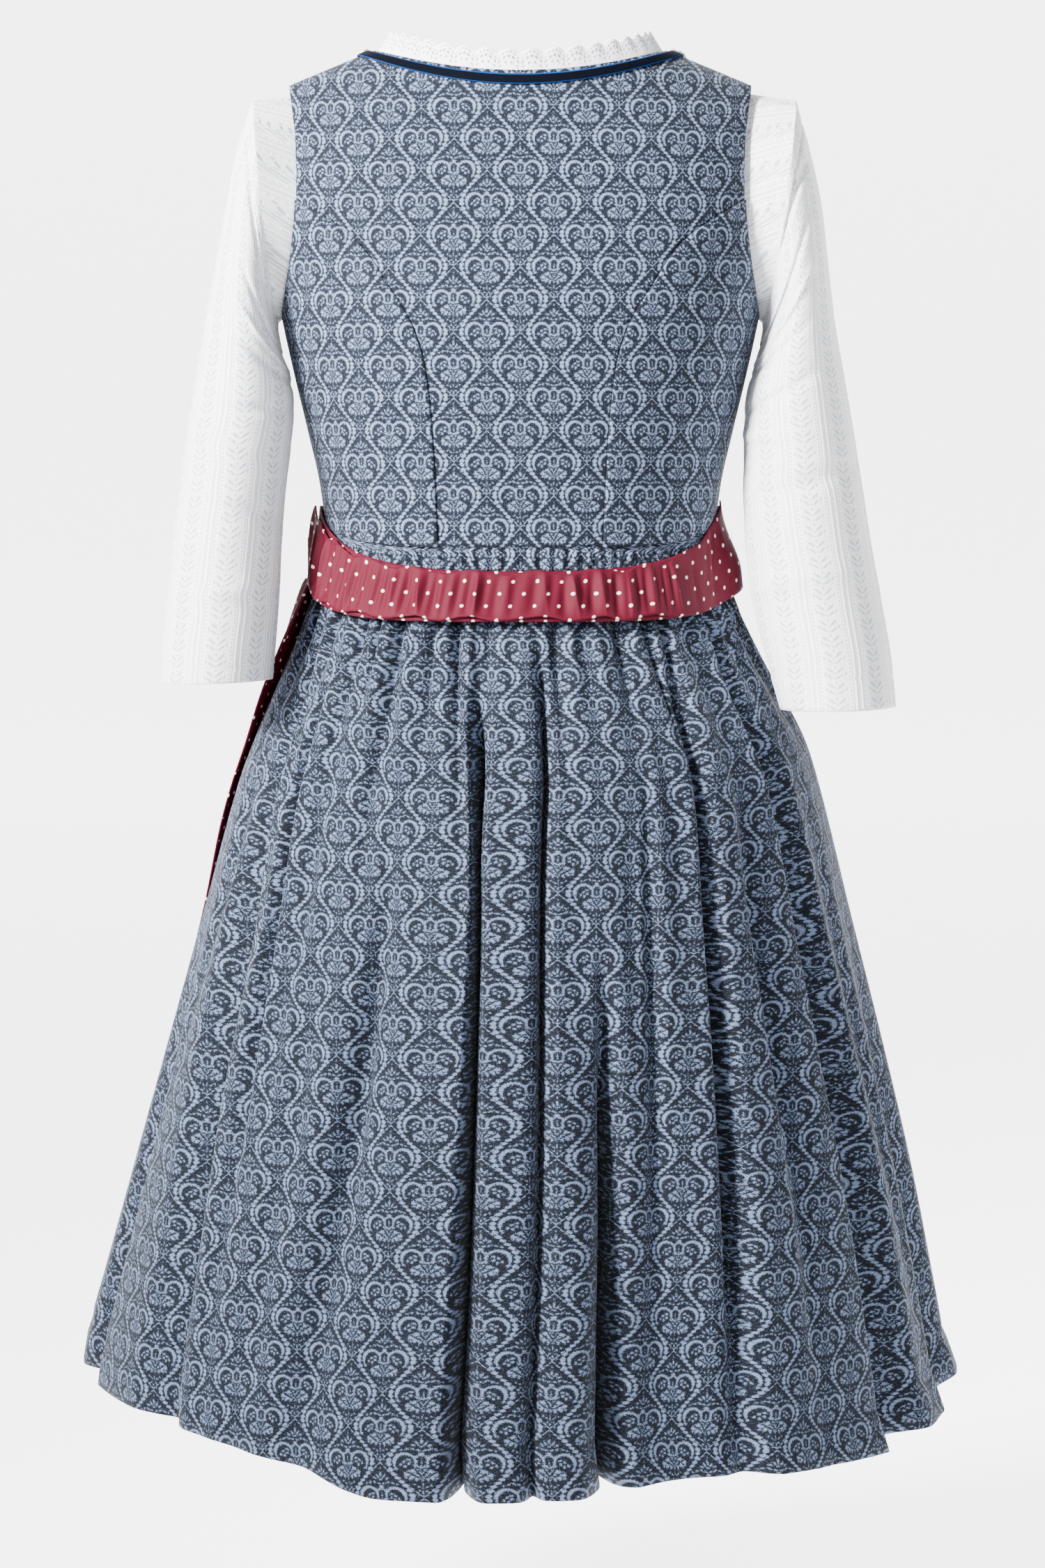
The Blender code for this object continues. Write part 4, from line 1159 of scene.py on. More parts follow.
SMALL_FOLDS = table(
    SideGather,
    (44.0, 0.30, 0.30, 0.0075, 0.0045), (31.0, 0.20, 0.22, 0.0060, 0.0035),
    (19.0, 0.10, 0.14, 0.0060, 0.0030), (14.5, 0.16, 0.16, 0.0060, 0.0030),
    (57.0, 0.55, 0.30, 0.0090, 0.0040), (38.0, 0.68, 0.30, 0.0100, 0.0040),
    (-8.5, 0.55, 0.22, 0.0080, 0.0030), (-18.5, 0.42, 0.18, 0.0060, 0.0032),
    (-28.0, 0.28, 0.20, 0.0060, 0.0036), (-47.0, 0.50, 0.34, 0.0090, 0.0050),
    (-70.0, 0.60, 0.30, 0.0090, 0.0040), (72.0, 0.30, 0.25, 0.0080, 0.0040),
    (100.0, 0.60, 0.30, 0.0100, 0.0040), (128.0, 0.55, 0.34, 0.0110, 0.0045),
    (162.0, 0.70, 0.30, 0.0110, 0.0040), (-168.0, 0.65, 0.30, 0.0100, 0.0040),
    (-134.0, 0.50, 0.34, 0.0110, 0.0045), (-100.0, 0.60, 0.30, 0.0100, 0.0040),
)


@dataclass
class Skirt:
    """Gathered skirt of two panels with a turned and stitched hem."""

    form: SkirtForm = field(default_factory=SkirtForm)
    pleats_back: int = 20
    pleats_front: int = 16
    hem_turn: float = 0.022
    length: float = 0.47
    gather: float = 8.0 * MM
    row_ease: float = 1.25
    lean: float = 0.42

    def small_shift(self, angle: Array, t: Array) -> Array:
        """Small folds and gathers between the large ones."""
        radius = self.form.radius(t)
        shift = np.zeros(np.shape(angle))
        for fold in SMALL_FOLDS:
            away = wrapped(angle - math.radians(fold.angle)) * radius
            reach = ridge(t, fold.at, fold.reach)
            shift -= fold.depth * reach * bell(away, fold.half * 1.6)
        return shift

    def pinch(self, angle: Array, t: Array) -> Array:
        """How far the two lips of a deep fold lean towards each other."""
        radius = self.form.radius(t)
        lean = np.zeros(np.shape(angle))
        for fold in DEEP_FOLDS:
            share = wrapped(angle - np.radians(lerp(fold.top, fold.hem, t))) * radius / (fold.half * 1.2)
            lean -= self.lean * fold.depth * fold_strength(fold, t) * share * ridge(share, 0, 1)
        return lean

    def hem_shift(self, t: Array) -> Array:
        """Turned hem: a shallow step where it is stitched."""
        line = 1 - self.hem_turn / self.length
        return -0.7 * MM * ridge(t, line, 0.003) + 0.4 * MM * smooth_step(line, line + 0.006, t)

    def surface(self, start: float, end: float, pleats: int) -> Surface:
        """Panel between two angles.

        Args:
            start: Angle at u 0.
            end: Angle at u 1.
            pleats: Gathers under the waist.

        Returns:
            Its surface.
        """

        def laid(u: Array, v: Array) -> Array:
            """Points of the panel."""
            t = v**self.row_ease
            angle = lerp(start, end, u)
            turns = pleats * u
            uneven = 0.22 * np.sin(7 * math.tau * u + 0.6) + 0.16 * np.sin(3 * math.tau * u)
            valley = np.abs(np.sin(math.pi * (turns + uneven + 0.5))) ** 0.55
            length = 0.30 + 0.12 * np.sin(5.3 * turns) + 0.08 * np.sin(2.1 * turns + 1)
            strength = 0.30 + 0.70 * np.abs(np.sin(1.3 * turns + 0.9 * np.sin(0.7 * turns)))
            fade = (1 - smooth_step(0.03, length, t)) * smooth_step(-0.02, 0.03, t)
            gather = self.gather * strength * (valley - 1) * fade
            fine = 0.7 * MM * np.cos(math.tau * (2.6 * turns + uneven)) * (1 - smooth_step(0.04, 0.16, t))
            shift = self.form.fold_shift(angle, t) + self.form.pleat_shift(turns + uneven, t) * 0.4
            shift = shift + self.form.fold_shift(angle, t, DEEP_FOLDS)
            shift = shift + gather + fine + self.small_shift(angle, t) + self.hem_shift(t)
            sideways = stacked(np.cos(angle), -np.sin(angle), 0.0) * self.pinch(angle, t)[..., None]
            return self.form.point(angle, t) + outward(angle) * shift[..., None] + sideways

        return laid

    def smooth(self, start: float, end: float) -> Surface:
        """The same panel without its gathers and folds."""

        def laid(u: Array, v: Array) -> Array:
            """Points of the smooth panel."""
            return self.form.point(lerp(start, end, u), v**self.row_ease)

        return laid

    def build(self, damask: Material) -> None:
        """Make the two panels."""
        seam = self.form.body.seam / 2 / SKIRT[-1].half
        behind = (QUARTER - seam, -QUARTER + seam)
        before = (-QUARTER - seam, -3 * QUARTER + seam)
        back = self.surface(*behind, self.pleats_back)
        front = self.surface(*before, self.pleats_front)
        Cloth(
            "skirt_back_cloth", back, 560, 80, wall=1.2 * MM, held=Hold.GATHERED, level_row=0.0,
            rests_on=("waist_casing_cloth",), mapped_on=self.smooth(*behind),
        ).make(damask, ["skirt_back"])
        Cloth(
            "skirt_front_cloth", front, 380, 80, wall=1.2 * MM, held=Hold.GATHERED, level_row=0.0,
            rests_on=("bodice_front_left_cloth",), mapped_on=self.smooth(*before),
        ).make(damask, ["skirt_front"])


# Apron


@dataclass
class Apron:
    """Dotted apron: band, gathered panel, two layers of tie across the back and a bow."""

    form: SashForm = field(default_factory=SashForm)
    wall: float = 1.2 * MM
    gap: float = 0.35 * MM
    stand: float = 7.5 * MM
    gathers: int = 16
    hem_rise: float = 22 * MM
    bow_degrees: float = 150.0
    knot: tuple[float, float, float] = (11 * MM, 8 * MM, 13 * MM)
    loop_reach: float = 66 * MM
    loop_fat: float = 8 * MM
    tail_length: float = 210 * MM
    tail_turn_radius: float = 130 * MM
    tie_end: float = -0.78
    tie_start: float = 0.02
    tie_share: float = 0.92
    side_degrees: tuple[tuple[int, int], ...] = ((104, 122), (274, 256))

    def band(self, u: Array, v: Array) -> Array:
        """Band across the front, with the small puckers of its gathered seam."""
        meet = 0.012
        angle = lerp(-QUARTER - meet, -3 * QUARTER + meet, u)
        pucker = 0.5 * MM * np.cos(math.tau * 30 * u + np.sin(17 * u)) * smooth_step(0.45, 0.95, v)
        edge = 0.3 * MM * ridge(np.minimum(v, 1 - v), 0.05, 0.03)
        return self.form.point(angle, v, self.wall + pucker - edge)

    def tie_under(self, u: Array, v: Array) -> Array:
        """Under layer of the tie, smooth to the wearer's right, where it bulges over the side."""
        angle = lerp(QUARTER, -QUARTER, u)
        bulge = 7 * MM * ridge(u, 0.97, 0.05) * smooth_step(0.1, 0.8, v)
        slack = 1.2 * MM * np.sin(math.tau * 1.3 * (u - 0.78) / 0.22 + 2.2 * v) * smooth_step(0.78, 0.84, u)
        rise = 0.9 * MM * creased_band(u, v, RIGHT_SASH_CREASES)
        point = self.form.point(angle, v, self.wall + bulge + slack * (1 - smooth_step(0.95, 1.0, u)) + rise)
        point[..., 2] += 3 * MM * smooth_step(0.8, 1.0, u) * (1 - v)
        return point

    def tie_over(self, u: Array, v: Array) -> Array:
        """Upper layer of the tie, scrunched into upright creases, its end sewn down."""
        angle = lerp(QUARTER, self.tie_end, u)
        phase = math.tau * 17 * u + 1.3 * np.sin(9 * u) + 0.9 * (v - 0.5) * np.sin(23 * u)
        ridges = np.sin(math.pi * np.clip(v, 0, 1)) ** 0.6
        main = np.cos(phase)
        sharp = 1 - 2 * np.sqrt(np.abs((1 - main) / 2))
        fine = 0.28 * np.cos(math.tau * 41 * u + 3.0 * v + 2 * np.sin(13 * u))
        uneven = 0.62 + 0.38 * np.sin(31 * u + 1.0 + 2.0 * np.sin(11 * u))
        lift = 2 * self.wall + self.gap + 1.1 * MM + 2.1 * MM * (sharp * uneven + fine) * ridges
        lift = lift - 0.4 * MM * ridge(u, 0.985, 0.006)
        wave = 1.3 * MM * np.cos(phase * 0.5 + 0.7) * (np.abs(2 * v - 1) ** 3)
        point = self.form.point(angle, self.tie_start + self.tie_share * v, lift)
        point[..., 2] += wave
        return point

    def tie_over_smooth(self, u: Array, v: Array) -> Array:
        """The same layer pulled smooth."""
        angle = lerp(QUARTER, self.tie_end, u)
        return self.form.point(angle, self.tie_start + self.tie_share * v, 2 * self.wall)

    def on_skirt(self, angle: Array, t: Array, waves: float = 1.0) -> Array:
        """Point of the apron over the skirt, t 0 at the waist and 1 at the skirt's hem."""
        stand = lerp(self.stand, self.stand * 0.8, t)
        turns = self.gathers * wrapped(angle) / math.pi
        stand = stand + waves * 1.8 * MM * np.cos(math.tau * turns) * (1 - smooth_step(0.1, 0.5, t))
        broad = 5 * MM * smooth_step(0.2, 0.9, t) * (1 + np.cos(6 * angle + 0.8)) / 2
        out = outward(angle)
        return self.form.skirt.point(angle, t) + out * (stand + waves * broad)[..., None]

    def panel(self, u: Array, v: Array) -> Array:
        """Gathered panel over the front of the skirt."""
        body = self.form.skirt.body
        spread = smooth_step(0, 0.6, v)
        sides = (np.radians(lerp(*degrees, spread)) for degrees in self.side_degrees)
        angle = -lerp(*sides, u)
        waist = body.waist_height(angle)
        length = waist - self.form.skirt.hem_side
        start = (waist - self.form.bottom(angle) + self.gap) / length
        finish = 1 - self.hem_rise / (body.waist_front - self.form.skirt.hem_side)
        t = lerp(start, finish, v**1.2)
        fine = 0.8 * MM * np.cos(math.tau * 52 * u + 2 * np.sin(15 * u)) * (1 - smooth_step(0.04, 0.22, v))
        drift = 1.6 * MM * np.cos(math.tau * 9 * u + 1.2 * v + 0.8) * smooth_step(0.25, 0.6, v)
        hem = -0.5 * MM * ridge(v, 0.945, 0.004)
        edge = -0.4 * MM * ridge(np.minimum(u, 1 - u), 0.012, 0.004)
        shift = fine * smooth_step(0.0, 0.02, v) + drift + hem + edge
        return self.on_skirt(angle, t) + outward(angle) * shift[..., None]

    def bow_frame(self) -> tuple[Array, Array, Array]:
        """Middle of the knot, direction outwards and direction along the band."""
        angle = np.array([math.radians(self.bow_degrees)])
        out = outward(angle)[0]
        ahead = np.array([math.cos(angle[0]), -math.sin(angle[0]), 0.0])
        seat = self.form.point(angle, np.array([0.45]), self.wall)[0]
        return seat + out * (self.knot[1] + self.gap + 0.9 * MM), out, ahead

    def loop(self, hand: int) -> Surface:
        """Loop of the bow, open at its two sides."""
        middle, out, ahead = self.bow_frame()

        def surface(u: Array, v: Array) -> Array:
            """Points of the loop."""
            far = (1 - np.cos(math.tau * u)) / 2
            reach = lerp(self.knot[0] + self.gap, self.loop_reach, far)
            crumple = 0.9 * MM * np.cos(math.pi * 6 * v + 1.0) * (1 - far) * np.sin(math.tau * u) ** 2
            fat = self.loop_fat * np.sin(math.tau * u) * (0.25 + 0.75 * far) + crumple
            width = lerp(14 * MM, 36 * MM, smooth_step(0, 0.8, far))
            z = (0.5 - v) * width - 16 * MM * far**1.5
            away = ahead * (hand * reach)[..., None] + out * (fat - 2 * MM * far * far)[..., None]
            return middle + away + stacked(0.0, 0.0, z)

        return surface

    def tail(self, hand: int) -> Surface:
        """Hanging end of the bow, folded lengthwise near the knot."""
        middle, out, ahead = self.bow_frame()
        angle = math.radians(self.bow_degrees)

        def surface(u: Array, v: Array) -> Array:
            """Points of the tail."""
            width = lerp(13 * MM, 34 * MM, smooth_step(0, 0.35, v))
            sideways = hand * lerp(3 * MM, 38 * MM, v) + (u - 0.5) * width
            turn = angle + sideways / self.tail_turn_radius * lerp(1.0, 0.75, v)
            height = middle[2] - self.knot[2] - self.gap - self.tail_length * v
            share = self.form.skirt.share_at(turn, height)
            extra = 2.0 * MM * (1 - smooth_step(0.3, 0.6, v)) if hand > 0 else 0.0 * v
            pleat = 0.8 * MM * np.cos(math.tau * 1.5 * u + 0.5) * (1 - smooth_step(0.35, 0.8, v))
            off = 2.6 * MM + extra + np.maximum(pleat, 0)
            lie = self.on_skirt(turn, share) + outward(turn) * off[..., None]
            hung = middle + ahead * sideways[..., None] + out * (hand * 1.2 * MM)
            lie[..., 2] = height
            hung[..., 2] = height
            return lerp(hung, lie, smooth_step(0.0, 0.12, v)[..., None])

        return surface

    def knot_shape(self) -> bmesh.types.BMesh:
        """Knot of the bow: a wrapped band with soft creases."""
        middle, out, ahead = self.bow_frame()
        bm = bmesh.new()
        bmesh.ops.create_uvsphere(bm, u_segments=48, v_segments=24, radius=1.0)
        for vert in bm.verts:
            x, y, z = vert.co
            crease = 1 - 0.07 * math.exp(-(((x - 0.15 * z - 0.25) / 0.12) ** 2)) if y > 0 else 1.0
            crease -= 0.06 * math.exp(-(((x + 0.35) / 0.1) ** 2)) if y > 0 else 0.0
            point = middle + ahead * x * self.knot[0] + out * y * self.knot[1] * crease
            vert.co = (point[0], point[1], point[2] + z * self.knot[2])
        bmesh.ops.recalc_face_normals(bm, faces=bm.faces)
        layer = bm.loops.layers.uv.new("cloth")
        for face in bm.faces:
            for loop in face.loops:
                away = np.array(loop.vert.co) - middle
                loop[layer].uv = (float(away @ ahead) * 1.3, float(away[2]) * 1.3)
        return bm

    def build(self, dotted: Material) -> None:
        """Make and dress every piece of the apron."""
        Cloth(
            "apron_band_cloth", self.band, 160, 16, rests_on=("bodice_front_left_cloth",)
        ).make(dotted, ["apron_band"])
        Cloth(
            "apron_tie_under_cloth", self.tie_under, 160, 16, rests_on=("waist_casing_cloth",)
        ).make(dotted, ["apron_tie_under"])
        Cloth(
            "apron_tie_over_cloth", self.tie_over, 520, 22, held=Hold.GATHERED,
            rests_on=("apron_tie_under_cloth",), mapped_on=self.tie_over_smooth,
        ).make(dotted, ["apron_tie_over"])
        Cloth(
            "apron_panel_cloth", self.panel, 320, 64, held=Hold.GATHERED, level_row=0.0,
            rests_on=("skirt_front_cloth",),
        ).make(dotted, ["apron_panel"])
        for hand, name in ((1, "left"), (-1, "right")):
            Cloth(
                f"bow_loop_{name}_cloth", self.loop(hand), 96, 24, facing=Facing(-hand), closed=True,
                held=Hold.FOLDED, rests_on=("bow_knot_cloth",),
            ).make(dotted, [f"bow_loop_{name}"])
            Cloth(
                f"bow_tail_{name}_cloth", self.tail(hand), 24, 96, facing=Facing.IN, held=Hold.HUNG,
                rests_on=("apron_panel_cloth",),
            ).make(dotted, [f"bow_tail_{name}"])
        add_piece("bow_knot_cloth", self.knot_shape(), dotted, ["bow_knot"])


class BandCrease(NamedTuple):
    """Crease of the sash: place along and down it, tilt, half width and height as a share."""

    u: float
    v: float
    tilt: float
    half: float
    rise: float


RIGHT_SASH_CREASES = table(
    BandCrease,
    (0.800, 0.5, -0.020, 0.0050, -1.2), (0.850, 0.6, -0.060, 0.0070, 1.0),
    (0.885, 0.4, -0.050, 0.0060, -1.0), (0.925, 0.6, -0.035, 0.0060, 0.9),
)


def creased_band(u: Array, v: Array, creases: Sequence[BandCrease]) -> Array:
    """Height of the upright creases of the sash, as a share."""
    rise = np.zeros(np.shape(u))
    for crease in creases:
        away = u - crease.u - crease.tilt * (v - crease.v)
        rise += crease.rise * ridge(away, 0, crease.half) * np.sin(math.pi * np.clip(v, 0, 1)) ** 0.5
    return rise


# Blouse


class SleeveWrinkle(NamedTuple):
    """Wrinkle across a sleeve: share down it, turn round it, reach round it, slope, half width and depth."""

    at: float
    turn: float
    reach: float
    slope: float
    half: float
    depth: float


WRINKLES_LEFT = table(
    SleeveWrinkle,
    (0.30, 2.60, 0.9, 0.030, 0.014, 0.0026), (0.36, 2.40, 1.0, 0.020, 0.012, -0.0018),
    (0.42, 2.50, 0.9, 0.015, 0.013, 0.0022), (0.52, 2.20, 0.8, -0.020, 0.012, 0.0016),
    (0.60, 1.20, 1.0, 0.030, 0.015, -0.0014), (0.70, 2.20, 0.8, 0.018, 0.014, 0.0015),
    (0.82, 1.60, 1.1, -0.012, 0.016, -0.0012), (0.14, 1.50, 0.9, 0.040, 0.012, 0.0012),
    (0.36, -1.90, 1.0, 0.025, 0.014, 0.0020), (0.55, -1.60, 1.0, -0.020, 0.015, 0.0016),
    (0.74, -1.80, 1.0, 0.015, 0.015, -0.0014),
)
WRINKLES_RIGHT = table(
    SleeveWrinkle,
    (0.26, 2.50, 1.0, 0.030, 0.013, 0.0030), (0.33, 2.40, 1.0, 0.022, 0.012, -0.0020),
    (0.40, 2.60, 0.9, 0.010, 0.012, 0.0024), (0.50, 2.20, 0.9, 0.020, 0.012, 0.0018),
    (0.57, 2.50, 0.8, -0.015, 0.011, -0.0016), (0.66, 1.70, 1.0, 0.025, 0.015, 0.0016),
    (0.80, 2.10, 1.0, 0.015, 0.015, -0.0014), (0.13, 1.40, 0.9, -0.035, 0.012, 0.0012),
    (0.40, -1.80, 1.0, 0.020, 0.014, 0.0020), (0.60, -1.70, 1.0, -0.015, 0.015, 0.0016),
    (0.78, -1.50, 1.0, 0.018, 0.015, -0.0014),
)


@dataclass
class Blouse:
    """Short white blouse: body, elbow-length sleeves with hemmed cuffs and a lace frill at the neck."""

    form: TorsoForm = field(default_factory=TorsoForm)
    depth_under: float = 4.3 * MM
    wall: float = 1.0 * MM
    hem: float = -205 * MM
    neck_inset: float = 4 * MM
    neck_drop_front: float = 58 * MM
    widening: float = 1.5 * MM
    neck_share: float = 14 / 20
    corner: float = 0.68
    frill_inset: float = 1.6 * MM
    frill_height: float = 14.5 * MM
    scallops: int = 38
    scallop_depth: float = 3.2 * MM
    cuff_band: tuple[float, float] = (0.035, 0.055)

    def body(self, side: int) -> Surface:
        """Body of the blouse behind or in front."""
        f = self.form

        def outer(v: Array, sign: int) -> tuple[Array, Array]:
            """Armhole, then side seam."""
            above = np.clip(1 - 2 * np.clip(v / self.corner, 0, 1), -1, 1)
            hole = f.armhole(side, np.arccos(above) / math.pi, self.widening)
            z = lerp(f.armpit, self.hem, np.clip((v - self.corner) / (1 - self.corner), 0, 1))
            angle = np.where(v < self.corner, hole[0], QUARTER)
            return angle * sign, np.where(v < self.corner, hole[1], z)

        def top(u: Array) -> tuple[Array, Array]:
            """Shoulder lines and neckline."""
            return f.open_top(
                side, u, self.neck_share, self.neck_inset, self.widening, self.neck_drop_front
            )

        def bottom(u: Array) -> tuple[Array, Array]:
            """Hem."""
            return lerp(QUARTER, -QUARTER, u), self.hem + 0 * u

        inside = patch(lambda v: outer(v, 1), lambda v: outer(v, -1), top, bottom, hold=6)

        def surface(u: Array, v: Array) -> Array:
            """Points of the body."""
            angle, z = inside(u, v**1.5)
            return f.point(side, angle, z)

        return surface

    def body_depth(self, under_strap: float) -> Depth:
        """Depth of the blouse under the bodice, more under the straps."""

        def depth(u: Array, v: Array) -> Array:
            """Depth at a place."""
            reach = np.abs(2 * u - 1)
            off_crest = np.maximum(smooth_step(0, 0.08, v), 1 - smooth_step(0.62, self.neck_share, reach))
            return self.depth_under + under_strap * (1 - smooth_step(0.3, 0.55, v)) * off_crest

        return depth

    def armhole_ring(self, turn: Array) -> Array:
        """Edge of the sleeve at the armhole, turn 0 at the shoulder and a quarter turn behind."""
        turn = wrapped(turn)
        share = np.abs(turn) / math.pi
        points = []
        for side in (1, -1):
            angle, z = self.form.armhole(side, share, self.widening)
            points.append(self.form.point(side, angle, z))
        point = np.where((turn >= 0)[..., None], points[0], points[1])
        middle = (self.form.armpit + self.form.shoulder_height(self.form.shoulder_half)) / 2
        inward = np.array([0.122, 0.0, middle]) - point
        inward /= np.linalg.norm(inward, axis=-1, keepdims=True)
        inward[..., 0] = 0.0
        return point + inward * self.depth_under - np.array([3.0 * MM, 0.0, 0.0])

    def sleeve(self, rows: Sequence[SleeveCut], wrinkles: Sequence[SleeveWrinkle], hand: int) -> Surface:
        """Sleeve through its cuts, with wrinkles, a sewn armhole seam and a stitched hem.

        Args:
            rows: Cuts from the shoulder to the cuff.
            wrinkles: Its wrinkles.
            hand: 1 for the wearer's left and -1 for the right.

        Returns:
            The surface, u round it and v down it.
        """
        band = self.cuff_band[0 if hand > 0 else 1]

        def surface(u: Array, v: Array) -> Array:
            """Points of the sleeve."""
            turn = math.tau * u + math.pi
            at = np.maximum(v, rows[0].at)
            cut = {name: along(rows, at, name) for name in SleeveCut._fields[1:]}
            outer = stacked(cut["outer_x"], 0.0, cut["outer_z"])
            inner = stacked(cut["inner_x"], 0.0, cut["inner_z"])
            ripple = np.zeros(np.shape(u))
            for wrinkle in wrinkles:
                aside = wrapped(turn - wrinkle.turn)
                away = (v - wrinkle.at - wrinkle.slope * aside) / wrinkle.half
                ripple -= wrinkle.depth * ridge(away, 0, 1) * ridge(aside, 0, wrinkle.reach)
            ripple -= 0.6 * MM * ridge(v, 0.118, 0.004)
            ripple -= 0.45 * MM * ridge(v, 1 - band, 0.0035)
            ripple += 0.5 * MM * np.cos(9 * turn + 4 * np.sin(2 * turn)) * (1 - smooth_step(0.06, 0.16, v))
            half = (outer - inner) / 2
            girth = 1 + ripple / 0.03
            point = (outer + inner) / 2 + half * (np.cos(turn) * girth)[..., None]
            point[..., 1] = cut["back"] + cut["deep"] * np.sin(turn) * girth
            join = smooth_step(0, rows[0].at, v)[..., None]
            point = np.where((v < rows[0].at)[..., None], lerp(self.armhole_ring(turn), point, join), point)
            point[..., 0] *= hand
            return point

        return surface

    def frill(self, u: Array, v: Array) -> Array:
        """Scalloped lace frill that stands up from the neckline of the blouse."""
        base = self.form.round_neck(u, self.frill_inset, self.neck_drop_front)
        scallop = self.scallop_depth * np.abs(np.sin(math.pi * self.scallops * u)) ** 0.8
        height = (self.frill_height - self.scallop_depth + scallop) * (1 - v)
        sideways = np.sin(math.tau * u) ** 2
        lean = 0.10 + 0.45 * sideways
        inward = -base - np.array([0.0, 0.012, 0.0])
        inward[..., 2] = 0.0
        inward /= np.linalg.norm(inward, axis=-1, keepdims=True)
        flutter = 0.5 * MM * np.cos(math.tau * self.scallops * u) * (1 - v)
        up = stacked(0.0, 0.0, 1 - lean * 0.3)
        rise = (inward * lean[..., None] + up) * height[..., None]
        return base + inward * (self.depth_under + flutter)[..., None] + rise

    def build(self, dobby: Material, lace: Material) -> None:
        """Make and dress every piece of the blouse."""
        for side, name, under_strap in ((1, "blouse_back", 1.2 * MM), (-1, "blouse_front", 3.4 * MM)):
            Cloth(
                f"{name}_cloth", self.body(side), 120, 72, wall=self.wall, facing=Facing(side),
                depth=self.body_depth(under_strap),
            ).make(dobby, [name])
        for hand, name, rows, wrinkles in (
            (1, "left", SLEEVE_LEFT, WRINKLES_LEFT),
            (-1, "right", SLEEVE_RIGHT, WRINKLES_RIGHT),
        ):
            Cloth(
                f"blouse_sleeve_{name}_cloth", self.sleeve(rows, wrinkles, hand), 120, 160,
                facing=Facing(hand), closed=True, held=Hold.HUNG, rests_on=("blouse_back_cloth",),
            ).make(dobby, [f"blouse_sleeve_{name}"])
        Cloth(
            "blouse_neck_frill_lace", self.frill, self.scallops * 16, 12, wall=0.8 * MM, closed=True,
            held=Hold.GATHERED, rests_on=("blouse_back_cloth",), even_map=(self.scallops, self.frill_height),
        ).make(lace, ["blouse_neck_frill"])


# Finishes


def linear(code: str) -> tuple[float, float, float, float]:
    """Linear colour from an sRGB hex code."""
    shares = [int(code[i : i + 2], 16) / 255 for i in (1, 3, 5)]
    flat = [s / 12.92 if s <= 0.04045 else ((s + 0.055) / 1.055) ** 2.4 for s in shares]
    return flat[0], flat[1], flat[2], 1.0


def feed(tree: Tree, node: bpy.types.Node, inputs: dict) -> None:
    """Give a node's inputs their values or links, by number or name."""
    for place, value in inputs.items():
        if isinstance(value, Socket):
            tree.links.new(value, node.inputs[place])
        else:
            node.inputs[place].default_value = value


def wire(tree: Tree, kind: str, settings: dict, inputs: dict, out: int = 0) -> Socket:
    """Add a node with its settings, values and links.

    Args:
        tree: Node tree that it joins.
        kind: Type of the node.
        settings: Properties to set.
        inputs: Value or socket for each input, by number or name.
        out: Which output to give back.

    Returns:
        The output socket.
    """
    node = tree.nodes.new(kind)
    for name, value in settings.items():
        setattr(node, name, value)
    feed(tree, node, inputs)
    return node.outputs[out]


def fresh(name: str) -> tuple[Material, Tree, bpy.types.Node]:
    """New node material, its tree and its main shader."""
    material = bpy.data.materials.new(name)
    material.use_nodes = True
    return material, material.node_tree, material.node_tree.nodes["Principled BSDF"]


ABSOLUTE = {"operation": "ABSOLUTE"}
ADD = {"operation": "ADD"}
FRACTION = {"operation": "FRACTION"}
LENGTH = {"operation": "LENGTH"}
MAXIMUM = {"operation": "MAXIMUM"}
MINIMUM = {"operation": "MINIMUM"}
MULTIPLY = {"operation": "MULTIPLY"}
MULTIPLY_ADD = {"operation": "MULTIPLY_ADD"}
SUBTRACT = {"operation": "SUBTRACT"}
SMOOTH = {"interpolation_type": "SMOOTHSTEP"}
FLAT = {"noise_dimensions": "2D"}
COLOUR = {"data_type": "RGBA"}
CLOTH_MAP = ("ShaderNodeUVMap", {"uv_map": "cloth"}, {})
NOISE = "ShaderNodeTexNoise"
SEPARATE = "ShaderNodeSeparateXYZ"
COMBINE = "ShaderNodeCombineXYZ"
BUMP = "ShaderNodeBump"
MATH = "ShaderNodeMath"
VECTOR = "ShaderNodeVectorMath"
RANGE = "ShaderNodeMapRange"
MIX = "ShaderNodeMix"


class MotifKind(Enum):
    """How an ellipse is read in the woven figure."""

    LEAF = "filled"
    RING = "ring"
    HOLLOW = "cut out of what came before"


class Motif(NamedTuple):
    """Ellipse of the woven figure in a mirrored cell: centre and radii in mm, tilt in degrees."""

    x: float
    y: float
    rx: float
    ry: float
    tilt: float = 0.0
    kind: MotifKind = MotifKind.LEAF


